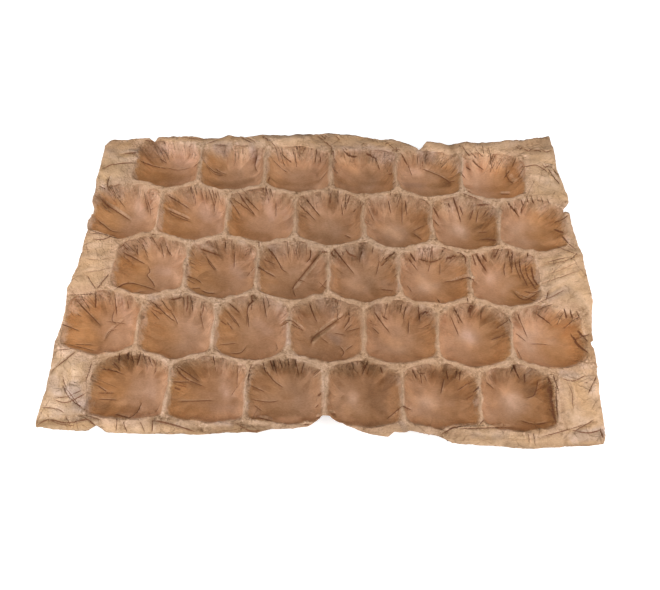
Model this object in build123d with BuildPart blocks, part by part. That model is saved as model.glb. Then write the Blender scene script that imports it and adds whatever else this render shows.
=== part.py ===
import os
from math import atan2, cos, hypot, pi, sin

from build123d import *

# Pockets for round fruit, in millimetres: each row nests half a pitch along from the next
fruit_pitch = 70.0
row_pitch = 60.6
row_counts = (6, 7, 6, 7, 6)
ridge_width = 4.0
ridge_swing = 11.5
rim_swing = 4.0
pocket_depth = 27.0
base_diameter = 16.0
base_wander = 2.0

# Paper, and the gathers that it forms where it is pressed into a pocket
paper = 0.6
gather_depth = 2.2
upright_gathers = 4
slant_gathers = 3
least_gather_share = 0.24
front_gather_share = 0.55
golden_turn = pi * (3 - 5**0.5)

# Rings of a pocket from mouth to base: how deep, how wide, and how far the gathers stand there
ring_depth_shares = (0.0, 0.34, 0.78, 1.0)
ring_spread_shares = (1.0, 0.91, 0.66, 0.0)
ring_gather_shares = (0.0, 1.0, 0.75, 0.0)

# Margins around the pockets, and how low the paper hangs at twice a margin's width
side_margin = 8.0
front_margin = 10.0
back_margin = 16.0
front_sag = 7.0
back_sag = 5.0

# Torn edges, clockwise: how far along each edge, and how far out in shares of its margin
back_edge_shares = (
    (-0.99, -0.7), (-0.98, -0.25), (-0.93, 0.05), (-0.81, 0.15), (-0.785, -0.12), (-0.77, 0.18),
    (-0.59, 0.28), (-0.41, 0.52), (-0.19, 0.86), (0.08, 1.06), (0.22, 0.88), (0.31, 0.6),
    (0.36, 0.35), (0.39, 0.05), (0.43, 0.62), (0.55, 0.56), (0.66, 0.82), (0.85, 1.12), (0.99, 1.63),
)
right_edge_shares = (
    (0.86, -0.1), (0.73, 0.3), (0.65, 0.6), (0.58, 0.62), (0.515, -0.35), (0.505, 0.7), (0.3, 0.8),
    (0.09, 1.15), (-0.04, 1.4), (-0.15, 1.4), (-0.35, 0.9), (-0.42, 0.75), (-0.44, 0.3),
    (-0.48, 0.8), (-0.67, 0.6), (-0.91, 0.4), (-1.01, 0.25),
)
front_edge_shares = (
    (1.0, 0.9), (0.84, 1.1), (0.75, 1.3), (0.56, 1.15), (0.46, 1.0), (0.4, 0.45), (0.31, 0.12),
    (0.29, 0.35), (0.25, 0.22), (0.23, 0.65), (0.13, 0.35), (0.09, -0.05), (0.055, -0.6),
    (0.02, -0.95), (-0.01, -0.95), (-0.03, -0.6), (-0.055, 0.05), (-0.19, 0.35), (-0.24, 0.6),
    (-0.43, 0.9), (-0.76, 1.05), (-0.785, 0.6), (-0.8, 0.4), (-0.83, 0.85), (-1.015, 0.75),
)
left_edge_shares = (
    (-0.95, 0.25), (-0.7, 0.3), (-0.55, 0.4), (-0.33, 0.12), (-0.2, 0.25), (-0.04, 0.1), (0.18, 0.0),
    (0.43, 0.0), (0.48, 0.12), (0.7, 0.1),
)

# Sizes that follow: the pockets' grid is measured to the middle of its outermost ridges
half_pitch = fruit_pitch / 2
upright_half = (row_pitch - ridge_swing) / 2
rows_from_middle = (len(row_counts) - 1) / 2
grid_side = max(row_counts) * half_pitch
grid_reach = rows_from_middle * row_pitch + upright_half + rim_swing
flat_reach = grid_reach + ridge_width / 2
ridge_height = pocket_depth + paper


def torn_edge(edge_shares, half_length, reach, margin):
    """Points of one edge, each as its place along the edge and its distance out."""
    return [(half_length * along, reach + margin * out) for along, out in edge_shares]


outline = (
    torn_edge(back_edge_shares, grid_side, grid_reach, back_margin)
    + [(out, along) for along, out in torn_edge(right_edge_shares, grid_reach, grid_side, side_margin)]
    + [(along, -out) for along, out in torn_edge(front_edge_shares, grid_side, grid_reach, front_margin)]
    + [(-out, along) for along, out in torn_edge(left_edge_shares, grid_reach, grid_side, side_margin)]
)
middle_x = sum(limit(x for x, _ in outline) for limit in (min, max)) / 2
middle_y = sum(limit(y for _, y in outline) for limit in (min, max)) / 2
ridge_plane = Plane((-middle_x, -middle_y, ridge_height))


def side_points(start, end, gathers):
    """Evenly spaced points from start, up to but without end."""
    return [
        (
            start[0] + (end[0] - start[0]) * gather / gathers,
            start[1] + (end[1] - start[1]) * gather / gathers,
        )
        for gather in range(gathers)
    ]


def mouth_points(front_swing, back_swing):
    """Mouth of a pocket: a blunt hexagon inside its ridges, with a point at each gather."""
    side = half_pitch - ridge_width / 2
    tips, shoulders = [], []
    for swing in (front_swing, back_swing):
        slope = swing / half_pitch
        tips.append(upright_half + swing - ridge_width / 2 * hypot(1, slope))
        shoulders.append(tips[-1] - slope * side)
    corners = [
        (side, -shoulders[0]),
        (side, shoulders[1]),
        (0, tips[1]),
        (-side, shoulders[1]),
        (-side, -shoulders[0]),
        (0, -tips[0]),
    ]
    gathers = [upright_gathers, slant_gathers, slant_gathers] * 2
    points = []
    for start, end, count in zip(corners, corners[1:] + corners[:1], gathers):
        points += side_points(start, end, count)
    return points


def pocket_rings(number, centre, mouth, grown):
    """Rings of a pocket from its mouth to its base, grown outwards and down by a thickness."""
    base_radius = base_diameter / 2
    drift = (base_wander * cos(golden_turn * number), base_wander * sin(golden_turn * number))
    rings = []
    for depth, spread, gathered in zip(ring_depth_shares, ring_spread_shares, ring_gather_shares):
        ring = []
        for place, (x, y) in enumerate(mouth):
            turn = atan2(y, x)
            waver = (1 + sin(golden_turn * (len(mouth) * number + place))) / 2
            strength = least_gather_share + (1 - least_gather_share) * waver
            facing = front_gather_share + (1 - front_gather_share) * (1 + sin(turn)) / 2
            fold = gather_depth * gathered * strength * facing * (1 if place % 2 else -1)
            out = fold + grown + (1 - spread) * base_radius
            ring.append(
                (
                    centre[0] + spread * x + (1 - spread) * drift[0] + out * cos(turn),
                    centre[1] + spread * y + (1 - spread) * drift[1] + out * sin(turn),
                    -pocket_depth * depth - grown,
                )
            )
        rings.append(ring)
    return rings


def faceted_bowl(rings, top):
    """Closed bowl of flat facets through the rings, carried straight up from its mouth to top."""
    levels = [[(x, y, top) for x, y, _ in rings[0]]] + rings
    levels = [[ridge_plane.from_local_coords(Vector(*point)) for point in level] for level in levels]
    facets = [levels[0], levels[-1]]
    for level, (upper, lower) in enumerate(zip(levels, levels[1:])):
        for place in range(len(upper)):
            after = (place + 1) % len(upper)
            corners = [upper[place], upper[after], lower[after], lower[place]]
            if level == 0:
                facets.append(corners)
            elif place % 2:
                facets += [corners[:2] + corners[3:], corners[1:]]
            else:
                facets += [corners[:3], corners[:1] + corners[2:]]
    return Solid(Shell([Face(Wire.make_polygon(facet)) for facet in facets]))


# Both sides of the paper in every pocket, row by row from the back
outsides, insides = [], []
for row, row_count in enumerate(row_counts):
    back_swing = rim_swing if row == 0 else ridge_swing
    front_swing = rim_swing if row == len(row_counts) - 1 else ridge_swing
    mouth = mouth_points(front_swing, back_swing)
    for column in range(row_count):
        centre = ((column - (row_count - 1) / 2) * fruit_pitch, (rows_from_middle - row) * row_pitch)
        number = len(insides)
        outsides.append(faceted_bowl(pocket_rings(number, centre, mouth, paper), -paper / 2))
        insides.append(faceted_bowl(pocket_rings(number, centre, mouth, 0), paper))

# Sheet from front to back: flat over the ridges, hanging a little beyond the outer rows
sheet_top = [
    (-grid_reach - 2 * front_margin, -front_sag),
    (-flat_reach, 0),
    (flat_reach, 0),
    (grid_reach + 2 * back_margin, -back_sag),
]
sheet_underside = [(y, z - paper) for y, z in reversed(sheet_top)]

# Apple tray: one sheet of paper, pressed into its pockets and torn around its edge
with BuildPart() as apple_tray:
    with BuildSketch(Plane(ridge_plane.origin, x_dir=(0, 1, 0), z_dir=(1, 0, 0))):
        with BuildLine():
            Polyline(*sheet_top, *sheet_underside, close=True)
        make_face()
    extrude(amount=2 * grid_side, both=True)
    add(outsides)
    with BuildSketch(ridge_plane):
        with BuildLine():
            Polyline(*outline, close=True)
        make_face()
    extrude(amount=2 * ridge_height, both=True, mode=Mode.INTERSECT)
    add(insides, mode=Mode.SUBTRACT)

apple_tray.part.label = "apple_tray"
os.makedirs("parts", exist_ok=True)
export_step(apple_tray.part, "parts/apple_tray.step")
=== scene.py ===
import math

import bpy
import numpy as np
from mathutils import Matrix, Vector, noise
from mathutils.bvhtree import BVHTree
from mathutils.geometry import delaunay_2d_cdt
from mathutils.kdtree import KDTree


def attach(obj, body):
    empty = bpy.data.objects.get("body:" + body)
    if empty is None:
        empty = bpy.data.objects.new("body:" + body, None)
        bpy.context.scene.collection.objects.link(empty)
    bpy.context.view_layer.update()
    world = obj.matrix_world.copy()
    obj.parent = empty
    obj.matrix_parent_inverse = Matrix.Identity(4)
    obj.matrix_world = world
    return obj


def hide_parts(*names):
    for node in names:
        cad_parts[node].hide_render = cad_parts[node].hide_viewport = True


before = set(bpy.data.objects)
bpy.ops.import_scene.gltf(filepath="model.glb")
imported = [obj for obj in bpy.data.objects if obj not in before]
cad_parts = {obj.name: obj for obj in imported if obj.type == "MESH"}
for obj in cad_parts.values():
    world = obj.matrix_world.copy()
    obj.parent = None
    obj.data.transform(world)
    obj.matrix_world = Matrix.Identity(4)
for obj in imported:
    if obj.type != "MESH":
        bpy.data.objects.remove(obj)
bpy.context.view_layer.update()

scene = bpy.context.scene


# Camera, in the tray's own frame: metres from the middle of the pockets, at ridge height
cameraSetup = {
    "place": (-0.0055, -0.2140, 0.4621),
    "forward": (0.0157, 0.3774, -0.9259),
    "right": (0.9993, 0.0250, 0.0271),
    "pixelFocal": 518.4,
    "imageSize": (660, 590),
    "sensorWidth": 36.0,
}
trayMiddle = Vector((-0.00376, -0.00654, 0.0276))  # middle of the pockets in the row frame


def makeCamera(setup):
    forward = Vector(setup["forward"]).normalized()
    right = Vector(setup["right"])
    right = (right - forward * right.dot(forward)).normalized()
    down = forward.cross(right)
    data = bpy.data.cameras.new("trayCamera")
    data.sensor_width = setup["sensorWidth"]
    data.lens = setup["pixelFocal"] * setup["sensorWidth"] / setup["imageSize"][0]
    camera = bpy.data.objects.new("trayCamera", data)
    scene.collection.objects.link(camera)
    turn = Matrix((right, -down, -forward)).transposed().to_4x4()
    camera.matrix_world = Matrix.Translation(trayMiddle + Vector(setup["place"])) @ turn
    scene.camera = camera
    return forward, right, down


viewForward, viewRight, viewDown = makeCamera(cameraSetup)
print("camera placed")


# Small helpers for every node tree
def feed(tree, socket, value):
    if isinstance(value, bpy.types.NodeSocket):
        tree.links.new(value, socket)
    elif value is not None:
        socket.default_value = value


def addNode(tree, kind, inputs=None, **settings):
    node = tree.nodes.new(kind)
    for name, value in settings.items():
        setattr(node, name, value)
    for key, value in (inputs or {}).items():
        feed(tree, node.inputs[key], value)
    return node


# three and more values are worked out from left to right
def calc(tree, operation, *values):
    if len(values) > 2:
        values = (calc(tree, operation, *values[:-1]), values[-1])
    node = addNode(tree, "ShaderNodeMath", operation=operation)
    for socket, value in zip(node.inputs, values):
        feed(tree, socket, value)
    return node.outputs[0]


def product(tree, *values):
    return calc(tree, "MULTIPLY", *values)


def total(tree, *values):
    return calc(tree, "ADD", *values)


def minus(tree, *values):
    return calc(tree, "SUBTRACT", *values)


def absolute(tree, value):
    return calc(tree, "ABSOLUTE", value)


def vectorCalc(tree, operation, *values):
    node = addNode(tree, "ShaderNodeVectorMath", operation=operation)
    for socket, value in zip(node.inputs, values):
        feed(tree, socket, value)
    return node.outputs["Value" if operation == "LENGTH" else "Vector"]


def scaled(tree, vector, factor):
    return addNode(tree, "ShaderNodeVectorMath", {"Vector": vector, "Scale": factor},
                   operation="SCALE").outputs["Vector"]


def joined(tree, x, y, z):
    return addNode(tree, "ShaderNodeCombineXYZ", {0: x, 1: y, 2: z}).outputs[0]


def parted(tree, vector):
    return addNode(tree, "ShaderNodeSeparateXYZ", {"Vector": vector}).outputs


def ramp(tree, value, low, high, outLow=0.0, outHigh=1.0):
    node = addNode(tree, "ShaderNodeMapRange", {
        "Value": value, "From Min": low, "From Max": high, "To Min": outLow, "To Max": outHigh,
    }, interpolation_type="SMOOTHSTEP")
    return node.outputs["Result"]


def curved(tree, value, points):
    node = addNode(tree, "ShaderNodeFloatCurve", {"Value": value})
    curve = node.mapping.curves[0]
    for place, height in points[1:-1]:
        curve.points.new(place, height)
    curve.points[0].location = points[0]
    curve.points[-1].location = points[-1]
    node.mapping.update()
    return node.outputs["Value"]


# The lattice that the pockets are pressed on, in metres
tray = {
    "rowCounts": (6, 7, 6, 7, 6),  # from the back row to the front row
    "halfPitch": 0.035,
    "rowPitch": 0.0606,
    "uprightHalf": 0.02455,
    "ridgeSwing": 0.0115,
    "rimSwing": 0.004,
    "frontRimSwing": 0.0065,
    "cellSlack": 0.0012,
    "uprightSteps": 21,
    "slantSteps": 15,
    "ringShares": (1.0, 0.975, 0.95, 0.925, 0.9, 0.87, 0.83, 0.78, 0.72, 0.65, 0.57, 0.48, 0.38, 0.28, 0.15),
    "halvedBelow": 0.5,
    "quarteredBelow": 0.2,
    "squareFrom": (0.35, 0.85),  # rings are round below these shares and follow the ridges above them
    "marginSpacing": 0.0034,
    "marginAcross": (-0.27, 0.27),
    "marginAlong": (-0.18, 0.19),
    "marginJitter": 0.22,
    "edgeSpacing": 0.002,
    "edgeClearance": 0.0011,
    "creaseClearance": 0.0005,
    "creaseToEdge": 0.0008,
    "tearRoughness": 0.00015,
    "crossingDepth": 0.6,  # of creases that cross
    "seed": 11,
}
perMetre = 1000  # the sheet is cut in millimetres
mergeDistance = 0.01  # of its corners

# Torn outline in millimetres from the middle of the pockets, clockwise from the back left corner
tornOutline = (
    (-243, 138), (-240, 145), (-229, 148), (-198, 151), (-192, 146), (-189, 152), (-144, 154), (-101, 158),
    (-46, 164), (-2, 167), (20, 167), (53, 164), (75, 160), (88, 155), (96, 150), (105, 160), (135, 159),
    (163, 163), (186, 165), (208, 168), (243, 176),
    (243, 153), (244, 129), (247, 110), (250, 97), (250, 87), (242, 77), (250, 76), (251, 47), (253, 30),
    (254, 13), (256, -6), (256, -22), (254, -37), (252, -53), (251, -63), (248, -66), (251, -72), (251, -87),
    (250, -101), (248, -119), (248, -137), (247, -152), (245, -157),
    (233, -159), (206, -161), (184, -163), (162, -162), (136, -161), (114, -160), (104, -156), (97, -154),
    (75, -151), (71, -153), (62, -152), (56, -156), (45, -155), (33, -153), (23, -149), (14, -144), (5, -140),
    (-2, -140), (-6, -143), (-10, -148), (-14, -150), (-25, -152), (-47, -153), (-57, -156), (-68, -156),
    (-106, -159), (-149, -160), (-188, -160), (-193, -156), (-197, -154), (-203, -158), (-218, -159),
    (-249, -157),
    (-247, -144), (-247, -107), (-248, -84), (-246, -70), (-245, -50), (-247, -36), (-243, -6), (-242, 13),
    (-242, 47), (-241, 65), (-243, 71),
)

pocketCentres = []
lastRow = len(tray["rowCounts"]) - 1
for row, count in enumerate(tray["rowCounts"]):
    for column in range(count):
        pocketCentres.append((
            (column - (count - 1) / 2) * 2 * tray["halfPitch"],
            (lastRow / 2 - row) * tray["rowPitch"],
            tray["rimSwing"] if row == 0 else tray["ridgeSwing"],
            tray["frontRimSwing"] if row == lastRow else tray["ridgeSwing"],
        ))


def smoothStep(low, high, value):
    share = np.clip((value - low) / (high - low), 0, 1)
    return share * share * (3 - 2 * share)


def cellLoop(backSwing, frontSwing):
    side, upright = tray["halfPitch"], tray["uprightHalf"]
    corners = [(side, -upright), (side, upright), (0, upright + backSwing),
               (-side, upright), (-side, -upright), (0, -upright - frontSwing)]
    steps = [tray["uprightSteps"], tray["slantSteps"], tray["slantSteps"]] * 2
    points = []
    for start, end, count in zip(corners, corners[1:] + corners[:1], steps):
        for step in range(count):
            share = step / count
            points.append((start[0] + (end[0] - start[0]) * share, start[1] + (end[1] - start[1]) * share))
    return np.array(points)


def fieldPoints():
    found = []
    for x, y, backSwing, frontSwing in pocketCentres:
        loop = cellLoop(backSwing, frontSwing)
        radius = np.hypot(loop[:, 0], loop[:, 1])[:, None]
        for share in tray["ringShares"]:
            squareness = smoothStep(*tray["squareFrom"], share)
            ring = loop / radius * (tray["halfPitch"] * (1 - squareness) + radius * squareness) * share
            step = 4 if share < tray["quarteredBelow"] else 2 if share < tray["halvedBelow"] else 1
            found.append(ring[::step] + (x, y))
        found.append(np.array([(x, y)]))
    found = np.vstack(found)
    _, first = np.unique(np.round(found * 1e5).astype(int), axis=0, return_index=True)
    return found[np.sort(first)]


def inCells(points):
    inside = np.zeros(len(points), bool)
    slack = tray["cellSlack"]
    for x, y, backSwing, frontSwing in pocketCentres:
        dx, dy = np.abs(points[:, 0] - x), points[:, 1] - y
        swing = np.where(dy > 0, backSwing, frontSwing)
        inside |= (dx < tray["halfPitch"] + slack) & (
            np.abs(dy) < tray["uprightHalf"] + swing * (1 - dx / tray["halfPitch"]) + slack)
    return inside


def marginPoints(draw):
    spacing, jitter = tray["marginSpacing"], tray["marginJitter"]
    xs = np.arange(*tray["marginAcross"], spacing)
    ys = np.arange(*tray["marginAlong"], spacing * math.sqrt(3) / 2)
    grid = np.array([(x + (line % 2) * spacing / 2, y) for line, y in enumerate(ys) for x in xs])
    grid += draw.uniform(-jitter, jitter, grid.shape) * spacing
    return grid[~inCells(grid)]


def evenLine(points, spacing):
    points = np.array(points, float)
    lengths = np.hypot(*np.diff(points, axis=0).T)
    along = np.concatenate([[0], np.cumsum(lengths)])
    count = max(2, int(round(along[-1] / spacing)) + 1)
    marks = np.linspace(0, along[-1], count)
    return np.column_stack([np.interp(marks, along, points[:, axis]) for axis in range(points.shape[1])])


def tornLoop(draw):
    closed = np.array(tornOutline + tornOutline[:1]) / perMetre
    loop = evenLine(closed, tray["edgeSpacing"])[:-1]
    return loop + draw.normal(0, tray["tearRoughness"], loop.shape)


def insideLoop(points, loop):
    inside = np.zeros(len(points), bool)
    for (x0, y0), (x1, y1) in zip(loop, np.roll(loop, -1, axis=0)):
        if y0 == y1:
            continue
        crosses = (points[:, 1] > min(y0, y1)) & (points[:, 1] <= max(y0, y1))
        inside ^= crosses & (points[:, 0] < x0 + (points[:, 1] - y0) * (x1 - x0) / (y1 - y0))
    return inside


def pointTree(points):
    tree = KDTree(len(points))
    for index, (x, y) in enumerate(points):
        tree.insert((x, y, 0), index)
    tree.balance()
    return tree


def farFrom(points, others, distance):
    tree = pointTree(others)
    return np.array([tree.find((x, y, 0))[2] > distance for x, y in points], bool)


def storeValues(mesh, label, values):
    layer = mesh.attributes.new(label, "FLOAT", "POINT")
    layer.data.foreach_set("value", np.array(values, np.float32))


def makeFlatSheet(name, creasePoints, creaseValues, creaseEdges):
    draw = np.random.default_rng(tray["seed"])
    loop = tornLoop(draw)
    base = np.vstack([fieldPoints(), marginPoints(draw)])
    base = base[insideLoop(base, loop)]
    base = base[farFrom(base, loop, tray["edgeClearance"])]
    runs = []
    if len(creasePoints):
        base = base[farFrom(base, creasePoints, tray["creaseClearance"])]
        keep = insideLoop(creasePoints, loop) & farFrom(creasePoints, loop, tray["creaseToEdge"])
        creasePoints, creaseValues = creasePoints[keep], creaseValues[keep]
        places = np.cumsum(keep) - 1 + len(loop) + len(base)
        runs = [(int(places[first]), int(places[second])) for first, second in creaseEdges
                if keep[first] and keep[second]]
        base = np.vstack([base, creasePoints])
    everything = np.vstack([loop, base])
    coordinates = [tuple(point) for point in everything * perMetre]
    border = [(index, (index + 1) % len(loop)) for index in range(len(loop))]
    corners, _, triangles, sources, *_ = delaunay_2d_cdt(
        coordinates, border + runs, [], 0, mergeDistance, True)
    centres = np.array([sum(np.array(corners[corner]) for corner in triangle) / (3 * perMetre)
                        for triangle in triangles])
    triangles = [triangle for triangle, inside in zip(triangles, insideLoop(centres, loop)) if inside]
    mesh = bpy.data.meshes.new(name)
    mesh.from_pydata([(x / perMetre, y / perMetre, 0) for x, y in corners], [], triangles)
    values = np.zeros((len(corners), 2))
    firstCrease = len(everything) - len(creasePoints)
    for index, source in enumerate(sources):
        creased = [creaseValues[number - firstCrease] for number in source if number >= firstCrease]
        if creased:
            values[index] = np.max(creased, axis=0)
        elif not source:
            values[index] = (tray["crossingDepth"], 0)
    for column, label in enumerate(("crease", "lip")):
        storeValues(mesh, label, values[:, column])
    mesh.update()
    if mesh.polygons[0].normal.z < 0:
        mesh.flip_normals()
    sheet = bpy.data.objects.new(name, mesh)
    scene.collection.objects.link(sheet)
    return sheet


# How the sheet is pressed: what the tree's inputs are called, and their sizes in metres
pressing = {
    "Half Pitch": 0.035,
    "Upright Half": 0.02455,
    "Row Squeeze": 1.3258,  # how much nearer rows count than columns, so the ridges zigzag as they should
    "Corner Sharpness": 13.0,
    "Tip Softness": 0.0098,
    "Pocket Depth": 0.0264,
    "Floor Depth": 0.0267,
    "Base Wander": 0.003,
    "Ridge Warp": 0.0022,
    "Ridge Sway": 0.0018,
    "Ridge Lumps": 0.0006,
    "Wall Dents": 0.0014,
    "Gather Depth": 0.0022,
    "Gather Scale": 2.2,
    "Margin Crumple": 0.0034,
    "Front Sag": 0.35,
    "Back Sag": 0.16,
    "Crease Depth": 0.0011,
    "Lip Height": 0.0006,
    "Seed": 4,
}
pocketProfile = (
    (0.0, 1.0), (0.15, 1.0), (0.28, 0.985), (0.38, 0.955), (0.48, 0.91), (0.57, 0.855), (0.65, 0.785),
    (0.72, 0.695), (0.78, 0.58), (0.83, 0.435), (0.87, 0.272), (0.9, 0.148), (0.925, 0.066), (0.95, 0.018),
    (0.975, 0.002), (1.0, 0.0),
)

# What stays the same inside the tree. Noises: scale, detail and how far they swing.
# Windows: from, to, and the values there where they aren't 0 and 1
grain = {
    "seedStep": 3.7,
    "pocketStep": 2.37,
    "warpNoise": (36.0, 3.0),
    "swayNoise": (13.0, 1.0, 2.0),
    "lumpNoise": (120.0, 2.0, 4.0),
    "dentNoise": (55.0, 2.0, 4.0),
    "wanderWindow": (1.0, 0.3),
    "sharpWindow": (0.4, 0.95, 2.0),
    "swayWindow": (0.5, 1.0),
    "lumpWindow": (0.8, 1.0),
    "dentWindow": (0.3, 0.7),
    "gatherStart": (0.4, 0.86),
    "gatherEnd": (1.0, 0.93),
    "gatherFacing": (-1.0, 0.9, 0.35, 1.0),
    "gatherSkew": 0.8,
    "facingSkew": 0.25,
    "gatherLayers": ((1.0, 4.0), (2.1, 1.8)),
    "crumpleLayers": ((34.0, 2.0), (90.0, 0.64)),
    "facetMiddle": 0.42,
    "outsideWindow": (1.03, 1.3),
    "frontEdge": 0.1505,
    "backEdge": 0.1515,
    "leastDistance": 0.0001,
}


def buildPressTree(values):
    tree = bpy.data.node_groups.new("pressTray", "GeometryNodeTree")
    for name, way, kind in (("Geometry", "INPUT", "Geometry"), ("Geometry", "OUTPUT", "Geometry"),
                            ("Pocket Points", "INPUT", "Object"), ("Paper", "INPUT", "Material")):
        tree.interface.new_socket(name, in_out=way, socket_type="NodeSocket" + kind)
    for name, value in pressing.items():
        kind = "NodeSocketInt" if name == "Seed" else "NodeSocketFloat"
        tree.interface.new_socket(name, in_out="INPUT", socket_type=kind).default_value = value
    given = addNode(tree, "NodeGroupInput").outputs
    seedShift = joined(tree, product(tree, given["Seed"], values["seedStep"]), 0, 0)
    lattice = addNode(tree, "GeometryNodeObjectInfo", {"Object": given["Pocket Points"]}).outputs["Geometry"]
    place = addNode(tree, "GeometryNodeInputPosition").outputs[0]
    flat = vectorCalc(tree, "MULTIPLY", place, (1, 1, 0))

    def named(label):
        return addNode(tree, "GeometryNodeInputNamedAttribute", {"Name": label}).outputs["Attribute"]

    def noiseOf(scale, detail):
        return addNode(tree, "ShaderNodeTexNoise", {
            "Vector": vectorCalc(tree, "ADD", flat, seedShift), "Scale": scale, "Detail": detail}).outputs

    def waver(size, noiseLabel, windowLabel):
        scale, detail, swing = values[noiseLabel]
        swung = product(tree, minus(tree, noiseOf(scale, detail)[0], 0.5),
                        product(tree, given[size], swing))
        return product(tree, swung, ramp(tree, reach, *values[windowLabel]))

    def cellDistance(vector, scale):
        return addNode(tree, "ShaderNodeTexVoronoi", {"Vector": vector, "Scale": scale},
                       feature="F1", distance="EUCLIDEAN").outputs["Distance"]

    def moved(geometry, **inputs):
        return addNode(tree, "GeometryNodeSetPosition", {"Geometry": geometry, **inputs}).outputs[0]

    def ofPocket(value, kind):
        return addNode(tree, "GeometryNodeSampleIndex", {
            "Geometry": lattice, "Value": value, "Index": nearest}, data_type=kind, domain="POINT").outputs[0]

    # ridges wander a little from the even lattice
    warp = vectorCalc(tree, "SUBTRACT", noiseOf(*values["warpNoise"])["Color"], (0.5, 0.5, 0.5))
    warp = scaled(tree, vectorCalc(tree, "MULTIPLY", warp, (2, 2, 0)), given["Ridge Warp"])
    flat = vectorCalc(tree, "ADD", flat, warp)

    # nearest pocket, and where the point lies in it
    squeeze = joined(tree, 1.0, given["Row Squeeze"], 1.0)
    squeezed = addNode(tree, "GeometryNodeTransform", {"Geometry": lattice, "Scale": squeeze}).outputs[0]
    nearest = addNode(tree, "GeometryNodeSampleNearest", {
        "Geometry": squeezed, "Sample Position": vectorCalc(tree, "MULTIPLY", flat, squeeze),
    }, domain="POINT").outputs[0]
    centre = ofPocket(addNode(tree, "GeometryNodeInputPosition").outputs[0], "FLOAT_VECTOR")
    backSwing, frontSwing = (ofPocket(named(label), "FLOAT") for label in ("backSwing", "frontSwing"))
    fromCentre = vectorCalc(tree, "SUBTRACT", flat, centre)
    away = calc(tree, "DIVIDE", vectorCalc(tree, "LENGTH", fromCentre), given["Half Pitch"])
    wander = addNode(tree, "FunctionNodeRandomValue", {
        "ID": nearest, "Seed": given["Seed"], "Min": (-1, -1, 0), "Max": (1, 1, 0),
    }, data_type="FLOAT_VECTOR").outputs[0]
    wander = scaled(tree, wander, given["Base Wander"])
    wander = scaled(tree, wander, ramp(tree, away, *values["wanderWindow"]))
    local = vectorCalc(tree, "SUBTRACT", fromCentre, wander)
    sideways, upwards, _ = parted(tree, local)
    distance = calc(tree, "MAXIMUM", vectorCalc(tree, "LENGTH", local), values["leastDistance"])
    direction = scaled(tree, local, calc(tree, "DIVIDE", 1.0, distance))

    # reach is 0 in the middle of a pocket and 1 on its ridge
    swing = addNode(tree, "ShaderNodeMix", {
        "Factor": calc(tree, "GREATER_THAN", upwards, 0.0), "A": frontSwing, "B": backSwing,
    }, data_type="FLOAT").outputs["Result"]
    softSide = total(tree, calc(tree, "POWER", absolute(tree, sideways), 2.0),
                     calc(tree, "POWER", given["Tip Softness"], 2.0))
    softSide = calc(tree, "POWER", softSide, 0.5)
    slant = product(tree, softSide, calc(tree, "DIVIDE", swing, given["Half Pitch"]))
    acrossShare = calc(tree, "DIVIDE", absolute(tree, sideways), given["Half Pitch"])
    alongShare = calc(tree, "DIVIDE", total(tree, absolute(tree, upwards), slant),
                      total(tree, given["Upright Half"], swing))
    sharpness = ramp(tree, calc(tree, "DIVIDE", distance, given["Half Pitch"]), *values["sharpWindow"],
                     given["Corner Sharpness"])
    reach = total(tree, *(calc(tree, "POWER", share, sharpness) for share in (acrossShare, alongShare)))
    reach = calc(tree, "POWER", reach, calc(tree, "DIVIDE", 1.0, sharpness))

    # pressed depth, with ridges that sway up and down
    depth = curved(tree, calc(tree, "MINIMUM", reach, 1.0), pocketProfile)
    depth = product(tree, depth, given["Pocket Depth"])
    upAlong = parted(tree, place)[1]
    frontOver = calc(tree, "MAXIMUM", minus(tree, product(tree, upAlong, -1.0), values["frontEdge"]), 0.0)
    backOver = calc(tree, "MAXIMUM", minus(tree, upAlong, values["backEdge"]), 0.0)
    sag = total(tree, product(tree, frontOver, given["Front Sag"]),
                product(tree, backOver, given["Back Sag"]))
    sway = total(tree, waver("Ridge Sway", "swayNoise", "swayWindow"),
                 waver("Ridge Lumps", "lumpNoise", "lumpWindow"))
    pressed = moved(given["Geometry"], Offset=joined(tree, 0, 0, minus(tree, sway, depth, sag)))

    # gathers of spare paper run down each wall, most of all at its back
    pocketShift = product(tree, nearest, values["pocketStep"])
    sideness, backness, _ = parted(tree, direction)
    gatherPlace = joined(tree, sideness, backness,
                         total(tree, pocketShift, product(tree, reach, values["gatherSkew"])))
    gathers = []
    for scale, weight in values["gatherLayers"]:
        facet = cellDistance(gatherPlace, product(tree, given["Gather Scale"], scale))
        gathers.append(product(tree, minus(tree, values["facetMiddle"], facet), weight))
    window = product(tree, ramp(tree, reach, *values["gatherStart"]),
                     ramp(tree, reach, *values["gatherEnd"]))
    facing = ramp(tree, minus(tree, backness, product(tree, sideness, values["facingSkew"])),
                  *values["gatherFacing"])
    gathers = product(tree, total(tree, *gathers), window, product(tree, facing, given["Gather Depth"]))
    gathers = total(tree, gathers, waver("Wall Dents", "dentNoise", "dentWindow"))

    # flat paper outside the pockets is crumpled in soft facets
    crumple = []
    for scale, weight in values["crumpleLayers"]:
        facet = cellDistance(vectorCalc(tree, "ADD", flat, seedShift), scale)
        crumple.append(product(tree, minus(tree, facet, values["facetMiddle"]), weight))
    crumple = product(tree, total(tree, *crumple), ramp(tree, reach, *values["outsideWindow"]),
                      given["Margin Crumple"])

    # creases, and the paper that stands up beside them
    folds = minus(tree, product(tree, named("lip"), given["Lip Height"]),
                  product(tree, named("crease"), given["Crease Depth"]))
    normal = addNode(tree, "GeometryNodeInputNormal").outputs[0]
    folded = moved(pressed, Offset=scaled(tree, normal, total(tree, gathers, crumple, folds)))

    # nothing hangs below the bases
    x, y, z = parted(tree, addNode(tree, "GeometryNodeInputPosition").outputs[0])
    lowest = product(tree, given["Floor Depth"], -1.0)
    folded = moved(folded, Position=joined(tree, x, y, calc(tree, "MAXIMUM", z, lowest)))

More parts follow.
